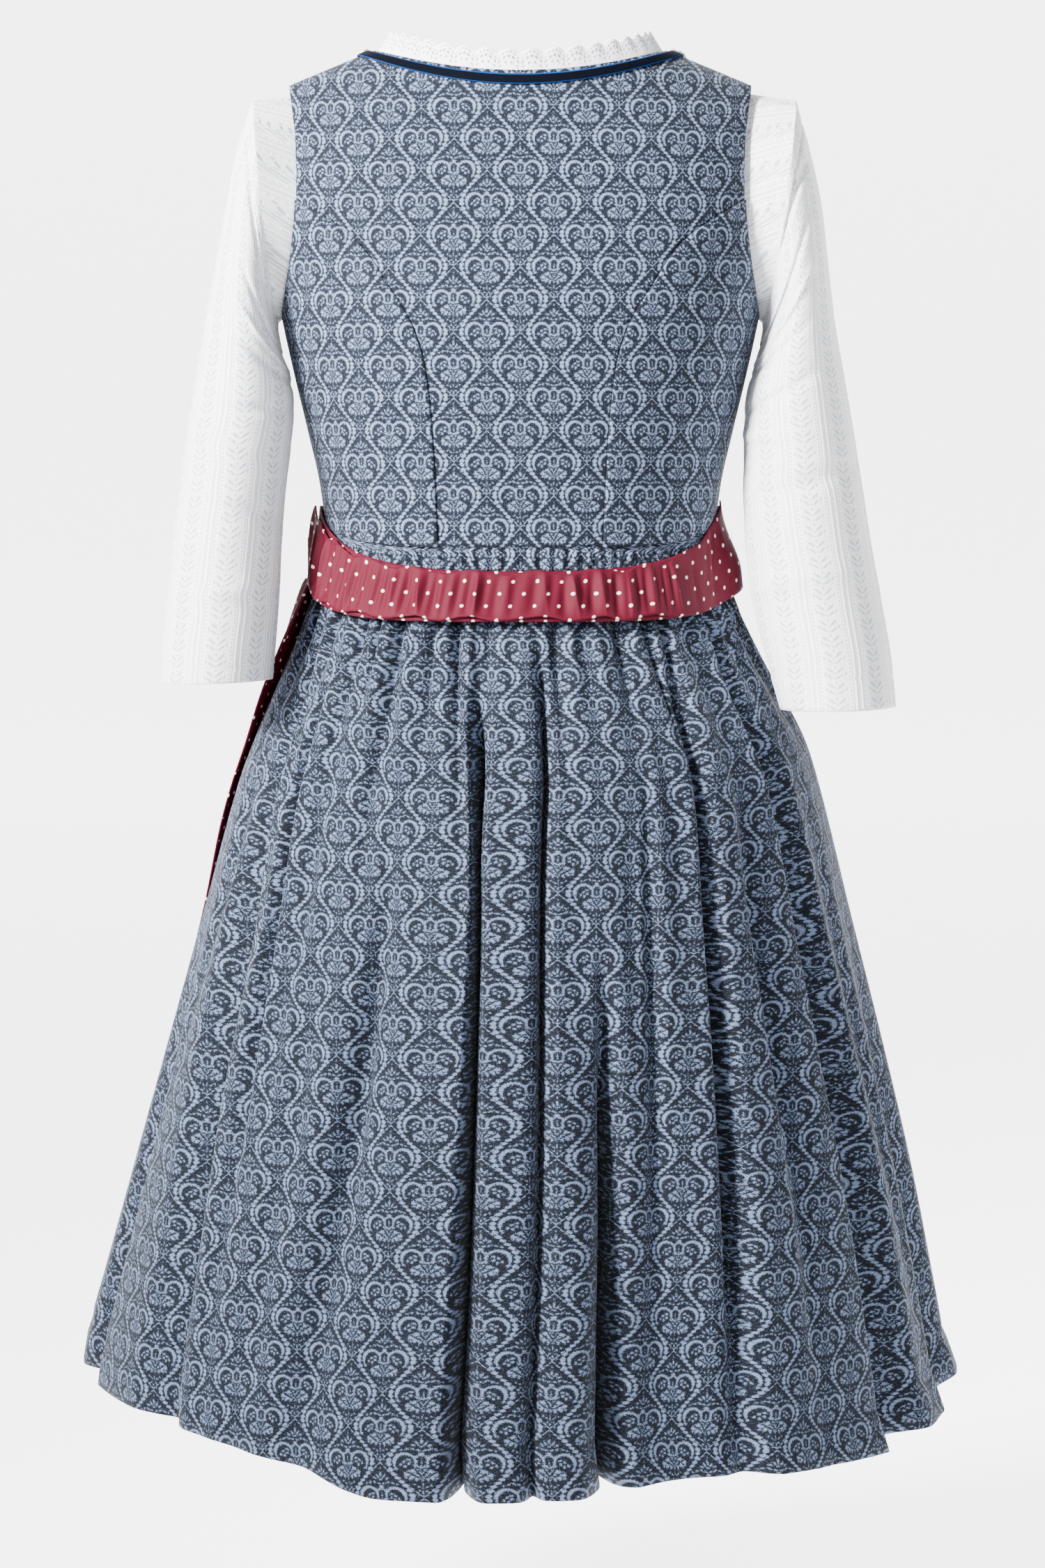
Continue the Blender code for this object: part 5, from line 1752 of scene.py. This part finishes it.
DAMASK_FIGURE = table(
    Motif,
    # Scroll at each side of the lyre, open below
    (6.9, 0.4, 5.5, 5.2), (6.5, -1.2, 3.9, 4.8, 0, MotifKind.HOLLOW),
    (7.2, -8.4, 8.0, 5.0, 0, MotifKind.HOLLOW), (2.6, 3.0, 1.3, 0.9, -40), (10.5, -3.3, 1.3, 0.9, 35),
    # Half flower that hangs in the scroll
    (4.9, 1.4, 1.3, 0.8, 15), (6.9, 0.5, 1.2, 0.8, -30), (5.0, -0.5, 1.0, 0.9), (8.4, -1.2, 0.8, 1.0, 20),
    (6.5, -1.9, 0.9, 1.0),
    # Lyre ring with its knob
    (0.0, 1.0, 2.5, 3.1, 0, MotifKind.RING), (0.0, 0.2, 0.5, 2.2), (0.0, 4.9, 1.5, 1.1),
    (2.3, -1.6, 1.5, 0.8, 30),
    # Row of leaves above the scrolls
    (1.3, 6.8, 1.3, 0.7, 20), (3.5, 7.4, 1.4, 0.7, 35), (5.9, 7.2, 1.4, 0.7, -20),
    (8.0, 6.6, 0.9, 0.6, -30),
    # Palmette at the top of the cell
    (0.0, 11.6, 0.8, 1.8), (1.6, 10.4, 0.75, 1.7, -32), (3.3, 9.5, 0.75, 1.4, -66), (0.0, 8.8, 1.1, 0.7),
    (0.0, 14.6, 0.5, 0.7),
    # Carnation under the lyre
    (0.0, -7.0, 1.0, 2.7), (2.0, -7.9, 0.95, 2.1, 14), (3.8, -7.1, 1.2, 2.5, 38), (5.6, -5.6, 1.5, 2.0, 58),
    (3.0, -4.0, 2.9, 1.2, -12), (6.2, -7.7, 0.9, 0.8), (1.2, -5.6, 1.4, 1.8),
    (1.3, -5.0, 0.30, 1.9, -30, MotifKind.HOLLOW), (3.4, -6.1, 0.24, 1.9, -58, MotifKind.HOLLOW),
    # Stem and pendant
    (0.0, -11.6, 0.45, 1.8), (1.6, -12.2, 1.1, 0.6, 40), (3.3, -11.2, 0.8, 0.6, -40),
    (1.4, -14.4, 0.9, 0.6, -40), (0.0, -15.6, 0.6, 1.4),
    # Small diamond and leaves where four cells meet
    (19.0, -0.4, 0.9, 1.8), (17.4, 3.6, 0.6, 1.3, 25), (17.2, -4.0, 0.6, 1.4, -25), (16.6, 1.2, 0.5, 0.8),
)


def half_drop(tree: Tree, repeat: tuple[float, float]) -> list[Socket]:
    """Places from the middle of the two interlocking grids of a half-drop repeat, as shares of it."""
    cloth = wire(tree, *CLOTH_MAP)
    place = wire(tree, VECTOR, MULTIPLY, {0: cloth, 1: (1000 / repeat[0], 1000 / repeat[1], 0.0)})
    halves = []
    for shift in (0.5, 0.0):
        moved = wire(tree, VECTOR, ADD, {0: place, 1: (shift, shift, 0.0)})
        share = wire(tree, VECTOR, FRACTION, {0: moved})
        halves.append(wire(tree, VECTOR, SUBTRACT, {0: share, 1: (0.5, 0.5, 0.0)}))
    return halves


def ellipse(tree: Tree, place: Socket, motif: Motif) -> Socket:
    """Distance from the middle of a motif, 1 on its edge."""
    turn = (0, 0, math.radians(motif.tilt))
    shape = {0: place, 1: (motif.x, motif.y, 0), 2: turn, 3: (motif.rx, motif.ry, 1)}
    laid = wire(tree, "ShaderNodeMapping", {"vector_type": "TEXTURE"}, shape)
    return wire(tree, VECTOR, LENGTH, {0: laid}, out=1)


@dataclass(frozen=True)
class DamaskCotton:
    """Cotton jacquard in two blue greys, woven, with a fine salt-and-pepper grain where the yarns cross."""

    ground: str = "#060A15"
    figure: str = "#7A88A4"
    repeat: tuple[float, float] = (37.0, 36.0)
    ring_half: float = 0.26
    edge: float = 0.16
    cover: float = 1.78
    grain: float = 0.75
    garland: float = 0.24
    belly: float = 14.6
    rounding: float = 8.0
    name: str = "blue damask cotton"

    def cell(self, tree: Tree) -> Socket:
        """Place in the half-drop repeat, mirrored, as a share of the repeat."""
        halves = half_drop(tree, self.repeat)
        across = wire(tree, SEPARATE, {}, {0: halves[0]})
        down = across.node.outputs[1]
        sides = [wire(tree, MATH, ABSOLUTE, {0: s}) for s in (across, down)]
        total = wire(tree, MATH, ADD, {0: sides[0], 1: sides[1]})
        beyond = wire(tree, MATH, {"operation": "GREATER_THAN"}, {0: total, 1: 0.5})
        chosen = wire(
            tree, MIX, {"data_type": "VECTOR"}, {0: beyond, 4: halves[0], 5: halves[1]}, out=1
        )
        parts = wire(tree, SEPARATE, {}, {0: chosen})
        side = wire(tree, MATH, ABSOLUTE, {0: parts})
        return wire(tree, COMBINE, {}, {0: side, 1: parts.node.outputs[1]})

    def garland_shape(self, tree: Tree, cell: Socket) -> Socket:
        """Leafy garland that rounds the cells, under 1 inside it."""
        side = wire(tree, SEPARATE, {}, {0: cell})
        up = wire(tree, MATH, ABSOLUTE, {0: side.node.outputs[1]})
        total = wire(tree, MATH, ADD, {0: side, 1: up})
        slope = 1 / math.hypot(1 / self.repeat[0], 1 / self.repeat[1])
        slanted = wire(tree, MATH, MULTIPLY_ADD, {0: total, 1: -slope, 2: slope / 2})
        upright = wire(tree, MATH, MULTIPLY_ADD, {0: side, 1: -self.repeat[0], 2: self.belly})
        away = wire(tree, MATH, {"operation": "SMOOTH_MIN"}, {0: slanted, 1: upright, 2: self.rounding})
        ahead = wire(tree, MATH, SUBTRACT, {0: side, 1: up})
        slant = wire(tree, MATH, MULTIPLY, {0: away, 1: 0.9})
        phase = wire(tree, MATH, MULTIPLY_ADD, {0: ahead, 1: math.pi * 10, 2: slant})
        wave = wire(tree, MATH, {"operation": "SINE"}, {0: phase})
        leafy = wire(tree, MATH, ABSOLUTE, {0: wave})
        fuller = wire(tree, MATH, MULTIPLY_ADD, {0: side, 1: 1.6, 2: 0.60})
        width = wire(tree, MATH, MULTIPLY_ADD, {0: leafy, 1: fuller, 2: self.garland})
        away = wire(tree, MATH, ABSOLUTE, {0: away})
        away = wire(tree, MATH, SUBTRACT, {0: away, 1: width})
        return wire(tree, MATH, ADD, {0: away, 1: 1.0})

    def figure_share(self, tree: Tree, grain: Socket) -> Socket:
        """Share of figure against ground."""
        cell = self.cell(tree)
        place = wire(tree, VECTOR, MULTIPLY, {0: cell, 1: (*self.repeat, 0.0)})
        shape = None
        for motif in DAMASK_FIGURE:
            away = ellipse(tree, place, motif)
            slope = min(motif.rx, motif.ry)
            if motif.kind is MotifKind.HOLLOW:
                inside = wire(tree, MATH, MULTIPLY_ADD, {0: away, 1: -slope, 2: 1 + slope})
                shape = wire(tree, MATH, MAXIMUM, {0: shape, 1: inside})
                continue
            if motif.kind is MotifKind.RING:
                apart = wire(tree, MATH, SUBTRACT, {0: away, 1: 1.0})
                apart = wire(tree, MATH, ABSOLUTE, {0: apart})
                away = wire(tree, MATH, {"operation": "DIVIDE"}, {0: apart, 1: self.ring_half})
                slope *= self.ring_half
            away = wire(tree, MATH, MULTIPLY_ADD, {0: away, 1: slope, 2: 1 - slope})
            shape = away if shape is None else wire(tree, MATH, MINIMUM, {0: shape, 1: away})
        shape = wire(tree, MATH, MINIMUM, {0: shape, 1: self.garland_shape(tree, cell)})
        rough = wire(tree, MATH, MULTIPLY_ADD, {0: grain, 1: 2.2, 2: shape})
        limits = {0: rough, 1: self.cover - self.edge, 2: self.cover + self.edge, 3: 1.0, 4: 0.0}
        return wire(tree, RANGE, SMOOTH, limits)

    def material(self) -> Material:
        """Node material of the cloth."""
        material, tree, shader = fresh(self.name)
        cloth = wire(tree, *CLOTH_MAP)
        # Yarn grain about 0.75 mm across, coarser than the real 0.25 mm thread so that it shows
        grain = wire(
            tree, NOISE, FLAT,
            {"Vector": cloth, "Scale": 1000 / self.grain, "Detail": 1.0, "Roughness": 0.6},
        )
        share = self.figure_share(tree, grain)
        lift = wire(tree, RANGE, {}, {0: grain, 1: 0.30, 2: 0.70, 3: 0.50, 4: 1.08})
        strength = wire(tree, MATH, MULTIPLY, {0: share, 1: lift})
        pepper = wire(tree, RANGE, {}, {0: grain, 1: 0.52, 2: 0.80, 3: 0.0, 4: 0.16})
        strength = wire(tree, MATH, MAXIMUM, {0: strength, 1: pepper})
        colour = wire(
            tree, MIX, COLOUR, {0: strength, 6: linear(self.ground), 7: linear(self.figure)}, out=2
        )
        bump = wire(tree, BUMP, {}, {"Strength": 0.25, "Distance": 0.00025, "Height": grain})
        feed(tree, shader, {
            "Base Color": colour, "Normal": bump, "Roughness": 0.82, "Specular IOR Level": 0.15,
            "Sheen Weight": 0.04, "Sheen Roughness": 0.5,
        })
        return material


@dataclass(frozen=True)
class DottedCotton:
    """Crimson cotton printed with cream pin dots, slightly glazed."""

    ground: str = "#4C0018"
    dot: str = "#F1DCD2"
    repeat: tuple[float, float] = (13.4, 14.4)
    radius: float = 0.98

    def material(self) -> Material:
        """Node material of the cloth."""
        material, tree, shader = fresh("dotted crimson cotton")
        cloth = wire(tree, *CLOTH_MAP)
        away = None
        for middle in half_drop(tree, self.repeat):
            real = wire(tree, VECTOR, MULTIPLY, {0: middle, 1: (*self.repeat, 0.0)})
            length = wire(tree, VECTOR, LENGTH, {0: real}, out=1)
            away = length if away is None else wire(tree, MATH, MINIMUM, {0: away, 1: length})
        # Thread of 0.5 mm, drawn twice as coarse as it is so that it shows in the print's edge
        grain = wire(
            tree, NOISE, FLAT, {"Vector": cloth, "Scale": 2000.0, "Detail": 1.0}
        )
        edge = wire(tree, MATH, MULTIPLY_ADD, {0: grain, 1: 0.5, 2: away})
        share = wire(tree, RANGE, {}, {0: edge, 1: self.radius + 0.12, 2: self.radius + 0.38, 3: 1.0, 4: 0.0})
        shade = wire(tree, RANGE, {}, {0: grain, 1: 0.3, 2: 0.7, 3: 0.82, 4: 1.12})
        red = wire(tree, VECTOR, {"operation": "SCALE"}, {0: linear(self.ground)[:3], "Scale": shade})
        colour = wire(tree, MIX, COLOUR, {0: share, 6: red, 7: linear(self.dot)}, out=2)
        bump = wire(tree, BUMP, {}, {"Strength": 0.2, "Distance": 0.0002, "Height": grain})
        feed(tree, shader, {
            "Base Color": colour, "Normal": bump, "Roughness": 0.72, "Specular IOR Level": 0.18,
        })
        return material


@dataclass(frozen=True)
class DobbyCotton:
    """Fine white cotton woven with lengthwise double ribs, pinholes and columns of openwork leaves, its
    holes, thin columns and rib grooves painted grey as painted shade.
    """

    base: str = "#FAFAFB"
    # Grey painted into holes, openwork columns and rib grooves: painted shade for the dark seen through and
    # into them
    holes_and_painted_shade: str = "#9EA3B0"
    period: float = 26.0
    leaf_repeat: float = 9.0

    def material(self) -> Material:
        """Node material of the cloth."""
        material, tree, shader = fresh("white dobby cotton")
        cloth = wire(tree, *CLOTH_MAP)
        size = (1000 / self.period, 1000 / self.leaf_repeat, 0.0)
        place = wire(tree, VECTOR, MULTIPLY, {0: cloth, 1: size})
        share = wire(tree, VECTOR, FRACTION, {0: place})
        middle = wire(tree, VECTOR, SUBTRACT, {0: share, 1: (0.5, 0.5, 0.0)})
        real = wire(tree, VECTOR, MULTIPLY, {0: middle, 1: (self.period, self.leaf_repeat, 0.0)})
        parts = wire(tree, SEPARATE, {}, {0: real})
        side = wire(tree, MATH, ABSOLUTE, {0: parts})
        mirrored = wire(tree, COMBINE, {}, {0: side, 1: parts.node.outputs[1]})
        holes = None
        for motif in (
            Motif(2.9, 1.2, 2.6, 0.75, 38), Motif(2.7, -2.6, 2.2, 0.65, 38), Motif(5.6, -1.0, 1.3, 0.5, 60),
            Motif(0.0, 2.9, 0.5, 0.8), Motif(0.0, -0.6, 0.45, 0.6), Motif(0.0, -3.6, 0.5, 0.5),
        ):
            away = ellipse(tree, mirrored, motif)
            holes = away if holes is None else wire(tree, MATH, MINIMUM, {0: holes, 1: away})
        tall = wire(tree, MATH, MULTIPLY, {0: parts.node.outputs[1], 1: math.tau / 2.25})
        beads = wire(tree, MATH, {"operation": "COSINE"}, {0: tall})
        line = wire(tree, MATH, SUBTRACT, {0: side, 1: 8.2})
        line = wire(tree, MATH, ABSOLUTE, {0: line})
        pin = wire(tree, MATH, MULTIPLY_ADD, {0: beads, 1: -0.9, 2: 1.0})
        pin = wire(tree, MATH, MULTIPLY_ADD, {0: line, 1: 1.8, 2: pin})
        holes = wire(tree, MATH, MINIMUM, {0: holes, 1: pin})
        holes_and_painted_shade = wire(tree, RANGE, SMOOTH, {0: holes, 1: 0.7, 2: 1.15, 3: 1.0, 4: 0.0})
        rib = wire(tree, MATH, SUBTRACT, {0: side, 1: 11.2})
        rib = wire(tree, MATH, ABSOLUTE, {0: rib})
        ribs = wire(tree, RANGE, SMOOTH, {0: rib, 1: 0.3, 2: 1.1, 3: 1.0, 4: 0.0})
        grain = wire(
            tree, NOISE, FLAT, {"Vector": cloth, "Scale": 1400.0, "Detail": 1.0}
        )
        height = wire(tree, MATH, SUBTRACT, {0: ribs, 1: holes_and_painted_shade})
        height = wire(tree, MATH, MULTIPLY_ADD, {0: grain, 1: 0.35, 2: height})
        # Thin openwork columns dimmed with painted shade, for the dark that shows through them
        column = wire(tree, RANGE, SMOOTH, {0: side, 1: 5.6, 2: 7.4, 3: 0.22, 4: 0.0})
        # Painted shade in the grooves beside the ribs
        painted_groove_shade = wire(tree, MATH, SUBTRACT, {0: rib, 1: 1.5})
        painted_groove_shade = wire(tree, MATH, ABSOLUTE, {0: painted_groove_shade})
        painted_groove_shade = wire(tree, RANGE, SMOOTH, {0: painted_groove_shade, 1: 0.1, 2: 0.7, 3: 0.5, 4: 0.0})
        holes_and_painted_shade = wire(tree, MATH, MULTIPLY, {0: holes_and_painted_shade, 1: 0.8})
        holes_and_painted_shade = wire(tree, MATH, MAXIMUM, {0: holes_and_painted_shade, 1: column})
        holes_and_painted_shade = wire(tree, MATH, MAXIMUM, {0: holes_and_painted_shade, 1: painted_groove_shade})
        colour = wire(tree, MIX, COLOUR, {0: holes_and_painted_shade, 6: linear(self.base), 7: linear(self.holes_and_painted_shade)}, out=2)
        bump = wire(tree, BUMP, {}, {"Strength": 0.55, "Distance": 0.0006, "Height": height})
        feed(tree, shader, {
            "Base Color": colour, "Normal": bump, "Roughness": 0.85, "Specular IOR Level": 0.3,
            "Sheen Weight": 0.15,
        })
        return material


@dataclass(frozen=True)
class EyeletLace:
    """White cotton edging with stitched eyelets that follow its scallops, the eyelets painted grey as painted
    shade for the dark seen through them.
    """

    base: str = "#F6F6F8"
    # Grey painted into the eyelets: painted shade for the dark seen through them
    hole: str = "#7F8698"
    scallop: float = 13.0
    height: float = 14.5
    scallop_depth: float = 3.2

    def material(self) -> Material:
        """Node material of the lace, whose map counts scallops across and metres up."""
        material, tree, shader = fresh("white eyelet lace")
        cloth = wire(tree, *CLOTH_MAP)
        count = wire(tree, SEPARATE, {}, {0: cloth})
        up = wire(tree, MATH, MULTIPLY, {0: count.node.outputs[1], 1: 1000.0})
        turn = wire(tree, MATH, MULTIPLY, {0: count, 1: math.pi})
        arch = wire(tree, MATH, ABSOLUTE, {0: wire(tree, MATH, {"operation": "SINE"}, {0: turn})})
        valley = self.height - self.scallop_depth
        drop = wire(tree, MATH, MULTIPLY_ADD, {0: arch, 1: self.scallop_depth, 2: valley})
        below = wire(tree, MATH, SUBTRACT, {0: drop, 1: up})
        holes = None
        for depth, each, size in ((1.8, 6, 0.55), (4.6, 5, 0.80), (8.0, 4, 0.65)):
            share = wire(tree, MATH, MULTIPLY, {0: count, 1: float(each)})
            share = wire(tree, MATH, {"operation": "FRACT"}, {0: share})
            across = wire(
                tree, MATH, MULTIPLY_ADD, {0: share, 1: self.scallop / each, 2: -self.scallop / each / 2}
            )
            tall = wire(tree, MATH, SUBTRACT, {0: below, 1: depth})
            place = wire(tree, COMBINE, {}, {0: across, 1: tall})
            away = wire(tree, VECTOR, LENGTH, {0: place}, out=1)
            away = wire(tree, MATH, {"operation": "DIVIDE"}, {0: away, 1: size})
            holes = away if holes is None else wire(tree, MATH, MINIMUM, {0: holes, 1: away})
        holes_and_painted_shade = wire(tree, RANGE, SMOOTH, {0: holes, 1: 0.75, 2: 1.1, 3: 1.0, 4: 0.0})
        stitched = wire(tree, RANGE, SMOOTH, {0: holes, 1: 1.2, 2: 1.9, 3: 1.0, 4: 0.0})
        height = wire(tree, MATH, MULTIPLY_ADD, {0: holes_and_painted_shade, 1: -2.0, 2: stitched})
        # The eyelets take the grey of painted shade
        colour = wire(tree, MIX, COLOUR, {0: holes_and_painted_shade, 6: linear(self.base), 7: linear(self.hole)}, out=2)
        bump = wire(tree, BUMP, {}, {"Strength": 0.5, "Distance": 0.0004, "Height": height})
        feed(tree, shader, {
            "Base Color": colour, "Normal": bump, "Roughness": 0.85, "Specular IOR Level": 0.3,
        })
        return material


@dataclass(frozen=True)
class VelvetPile:
    """Near black navy velvet ribbon whose satin edges are a brighter blue."""

    pile: str = "#02040C"
    edge: str = "#0A3670"
    width: float = 6.0

    def material(self) -> Material:
        """Node material of the ribbon."""
        material, tree, shader = fresh("navy velvet ribbon")
        cloth = wire(tree, *CLOTH_MAP)
        parts = wire(tree, SEPARATE, {}, {0: cloth})
        place = wire(tree, MATH, MULTIPLY_ADD, {0: parts.node.outputs[1], 1: 1000.0, 2: -self.width / 2})
        away = wire(tree, MATH, ABSOLUTE, {0: place})
        share = wire(tree, RANGE, {}, {0: away, 1: self.width / 2 - 0.45, 2: self.width / 2 - 0.20})
        colour = wire(tree, MIX, COLOUR, {0: share, 6: linear(self.pile), 7: linear(self.edge)}, out=2)
        grain = wire(
            tree, NOISE, FLAT, {"Vector": cloth, "Scale": 2600.0, "Detail": 2.0}
        )
        bump = wire(tree, BUMP, {}, {"Strength": 0.4, "Distance": 0.0003, "Height": grain})
        feed(tree, shader, {
            "Base Color": colour, "Normal": bump, "Roughness": 0.8, "Specular IOR Level": 0.05,
        })
        return material


@dataclass(frozen=True)
class Pewter:
    """Cast and tumbled pewter: dull grey with an uneven polish."""

    colour: str = "#9D9A96"

    def material(self) -> Material:
        """Node material of the buttons."""
        material, tree, shader = fresh("cast pewter")
        place = wire(tree, "ShaderNodeTexCoord", {}, {}, out=3)
        # Casting grain about 0.8 mm across
        grain = wire(tree, NOISE, {}, {"Vector": place, "Scale": 1250.0, "Detail": 2.0})
        rough = wire(tree, RANGE, {}, {0: grain, 1: 0.3, 2: 0.7, 3: 0.30, 4: 0.48})
        bump = wire(tree, BUMP, {}, {"Strength": 0.2, "Distance": 0.0002, "Height": grain})
        feed(tree, shader, {
            "Roughness": rough, "Normal": bump, "Base Color": linear(self.colour), "Metallic": 1.0,
        })
        return material


@dataclass(frozen=True)
class GlowingWhiteBoard:
    """Matt white painted board that glows, painted light from no lamp: strongly behind the dress, where it
    reads as a very light grey, and fading towards the camera.
    """

    colour: str = "#FCFCFD"
    glow: float = 3.6

    def material(self) -> Material:
        """White material that glows as painted light."""
        material, tree, shader = fresh("white board that glows with painted light")
        place = wire(tree, "ShaderNodeTexCoord", {}, {}, out=3)
        parts = wire(tree, SEPARATE, {}, {0: place})
        # The board glows itself, painted light from no lamp, strongly behind the dress and fading over 1 m
        # towards the camera
        lit = {0: parts.node.outputs[1], 1: 0.1, 2: 1.1, 3: self.glow, 4: 0.35}
        glow = wire(tree, RANGE, SMOOTH, lit)
        feed(tree, shader, {
            "Emission Strength": glow, "Base Color": linear(self.colour), "Roughness": 0.9,
            "Emission Color": linear(self.colour),
        })
        return material


# Studio


@dataclass
class Studio:
    """White floor and backdrop, soft daylight from the left of the picture, and the camera behind."""

    floor: float = -0.93
    reach: float = 14.0
    distance: float = 2.6
    eye: float = -0.244
    aim: float = -0.418
    lit_height: float = 0.02
    shown_height: float = 0.90
    middle: float = -0.0012
    sensor: float = 36.0
    flat: float = 8.0
    bend: float = 3.0

    def build(self) -> None:
        """Place the floor, the lights and the camera."""
        self.sweep()
        self.world()
        self.light("key", (2.1, 1.6, 1.0), 0.9, 50.0, 46.0)
        self.light("fill", (-0.9, 3.2, 0.7), 1.8, 13.0, 70.0)
        self.light("rim", (0.4, -2.2, 1.6), 1.8, 14.0, 120.0)
        self.camera()

    def sweep(self) -> None:
        """Matt white floor that turns up far in front of the wearer, and glows with painted light."""
        bm = bmesh.new()
        edge = bm.edges.new([bm.verts.new((x, self.reach, self.floor)) for x in (-self.reach, self.reach)])
        turn = np.linspace(0.2, QUARTER, 8)
        bend, flat = self.bend, -self.flat
        reach = [(flat, 0.0)]
        reach += [(flat - bend * math.sin(a), bend - bend * math.cos(a)) for a in turn]
        reach += [(flat - bend, self.reach)]
        for y, up in reach:
            made = bmesh.ops.extrude_edge_only(bm, edges=[edge])["geom"]
            edge = next(item for item in made if isinstance(item, bmesh.types.BMEdge))
            for vert in edge.verts:
                vert.co.y, vert.co.z = y, self.floor + up
        bmesh.ops.recalc_face_normals(bm, faces=bm.faces)
        # The floor and backdrop glow: painted light from no lamp
        shaped("sweep", bm, GlowingWhiteBoard().material())

    def world(self) -> None:
        """Even white surroundings."""
        world = bpy.data.worlds.new("white room")
        world.use_nodes = True
        light = world.node_tree.nodes["Background"]
        light.inputs["Color"].default_value = linear("#F4F6FA")
        light.inputs["Strength"].default_value = 0.40
        bpy.context.scene.world = world

    def light(self, name: str, place: tuple, size: float, power: float, spread: float) -> None:
        """Soft square light behind a grid, aimed at the bodice."""
        lamp = bpy.data.lights.new(name, "AREA")
        lamp.size = size
        lamp.energy = power
        lamp.spread = math.radians(spread)
        made = linked(bpy.data.objects.new(name, lamp))
        made.location = place
        aim = Vector((0, 0, self.lit_height)) - Vector(place)
        made.rotation_euler = aim.to_track_quat("-Z", "Y").to_euler()

    def camera(self) -> None:
        """Camera at the height and distance of the photograph."""
        data = bpy.data.cameras.new("camera")
        data.sensor_fit = "VERTICAL"
        data.sensor_height = self.sensor
        data.lens = self.sensor * self.distance / self.shown_height
        made = linked(bpy.data.objects.new("camera", data))
        made.location = (self.middle, self.distance, self.eye)
        aim = Vector((self.middle, 0, self.aim)) - made.location
        made.rotation_euler = aim.to_track_quat("-Z", "Y").to_euler()
        bpy.context.scene.camera = made


def main() -> None:
    """Build the dressed dirndl in its studio."""
    logging.basicConfig(level=logging.INFO, format="%(name)s: %(message)s")
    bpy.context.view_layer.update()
    damask = DamaskCotton().material()
    # The skirt takes a darker copy of the same damask, painted shade for the shade among its gathers, so that
    # it reads darker than the bodice
    gathered = DamaskCotton("#04070F", "#6A7894", name="blue damask cotton of the skirt in painted shade").material()
    dotted = DottedCotton().material()
    Blouse().build(DobbyCotton().material(), EyeletLace().material())
    Bodice().build(damask, Pewter().material())
    NeckRibbon().build(VelvetPile().material())
    Skirt().build(gathered)
    Apron().build(dotted)
    Studio().build()
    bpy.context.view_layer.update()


if __name__ == "__main__":
    main()
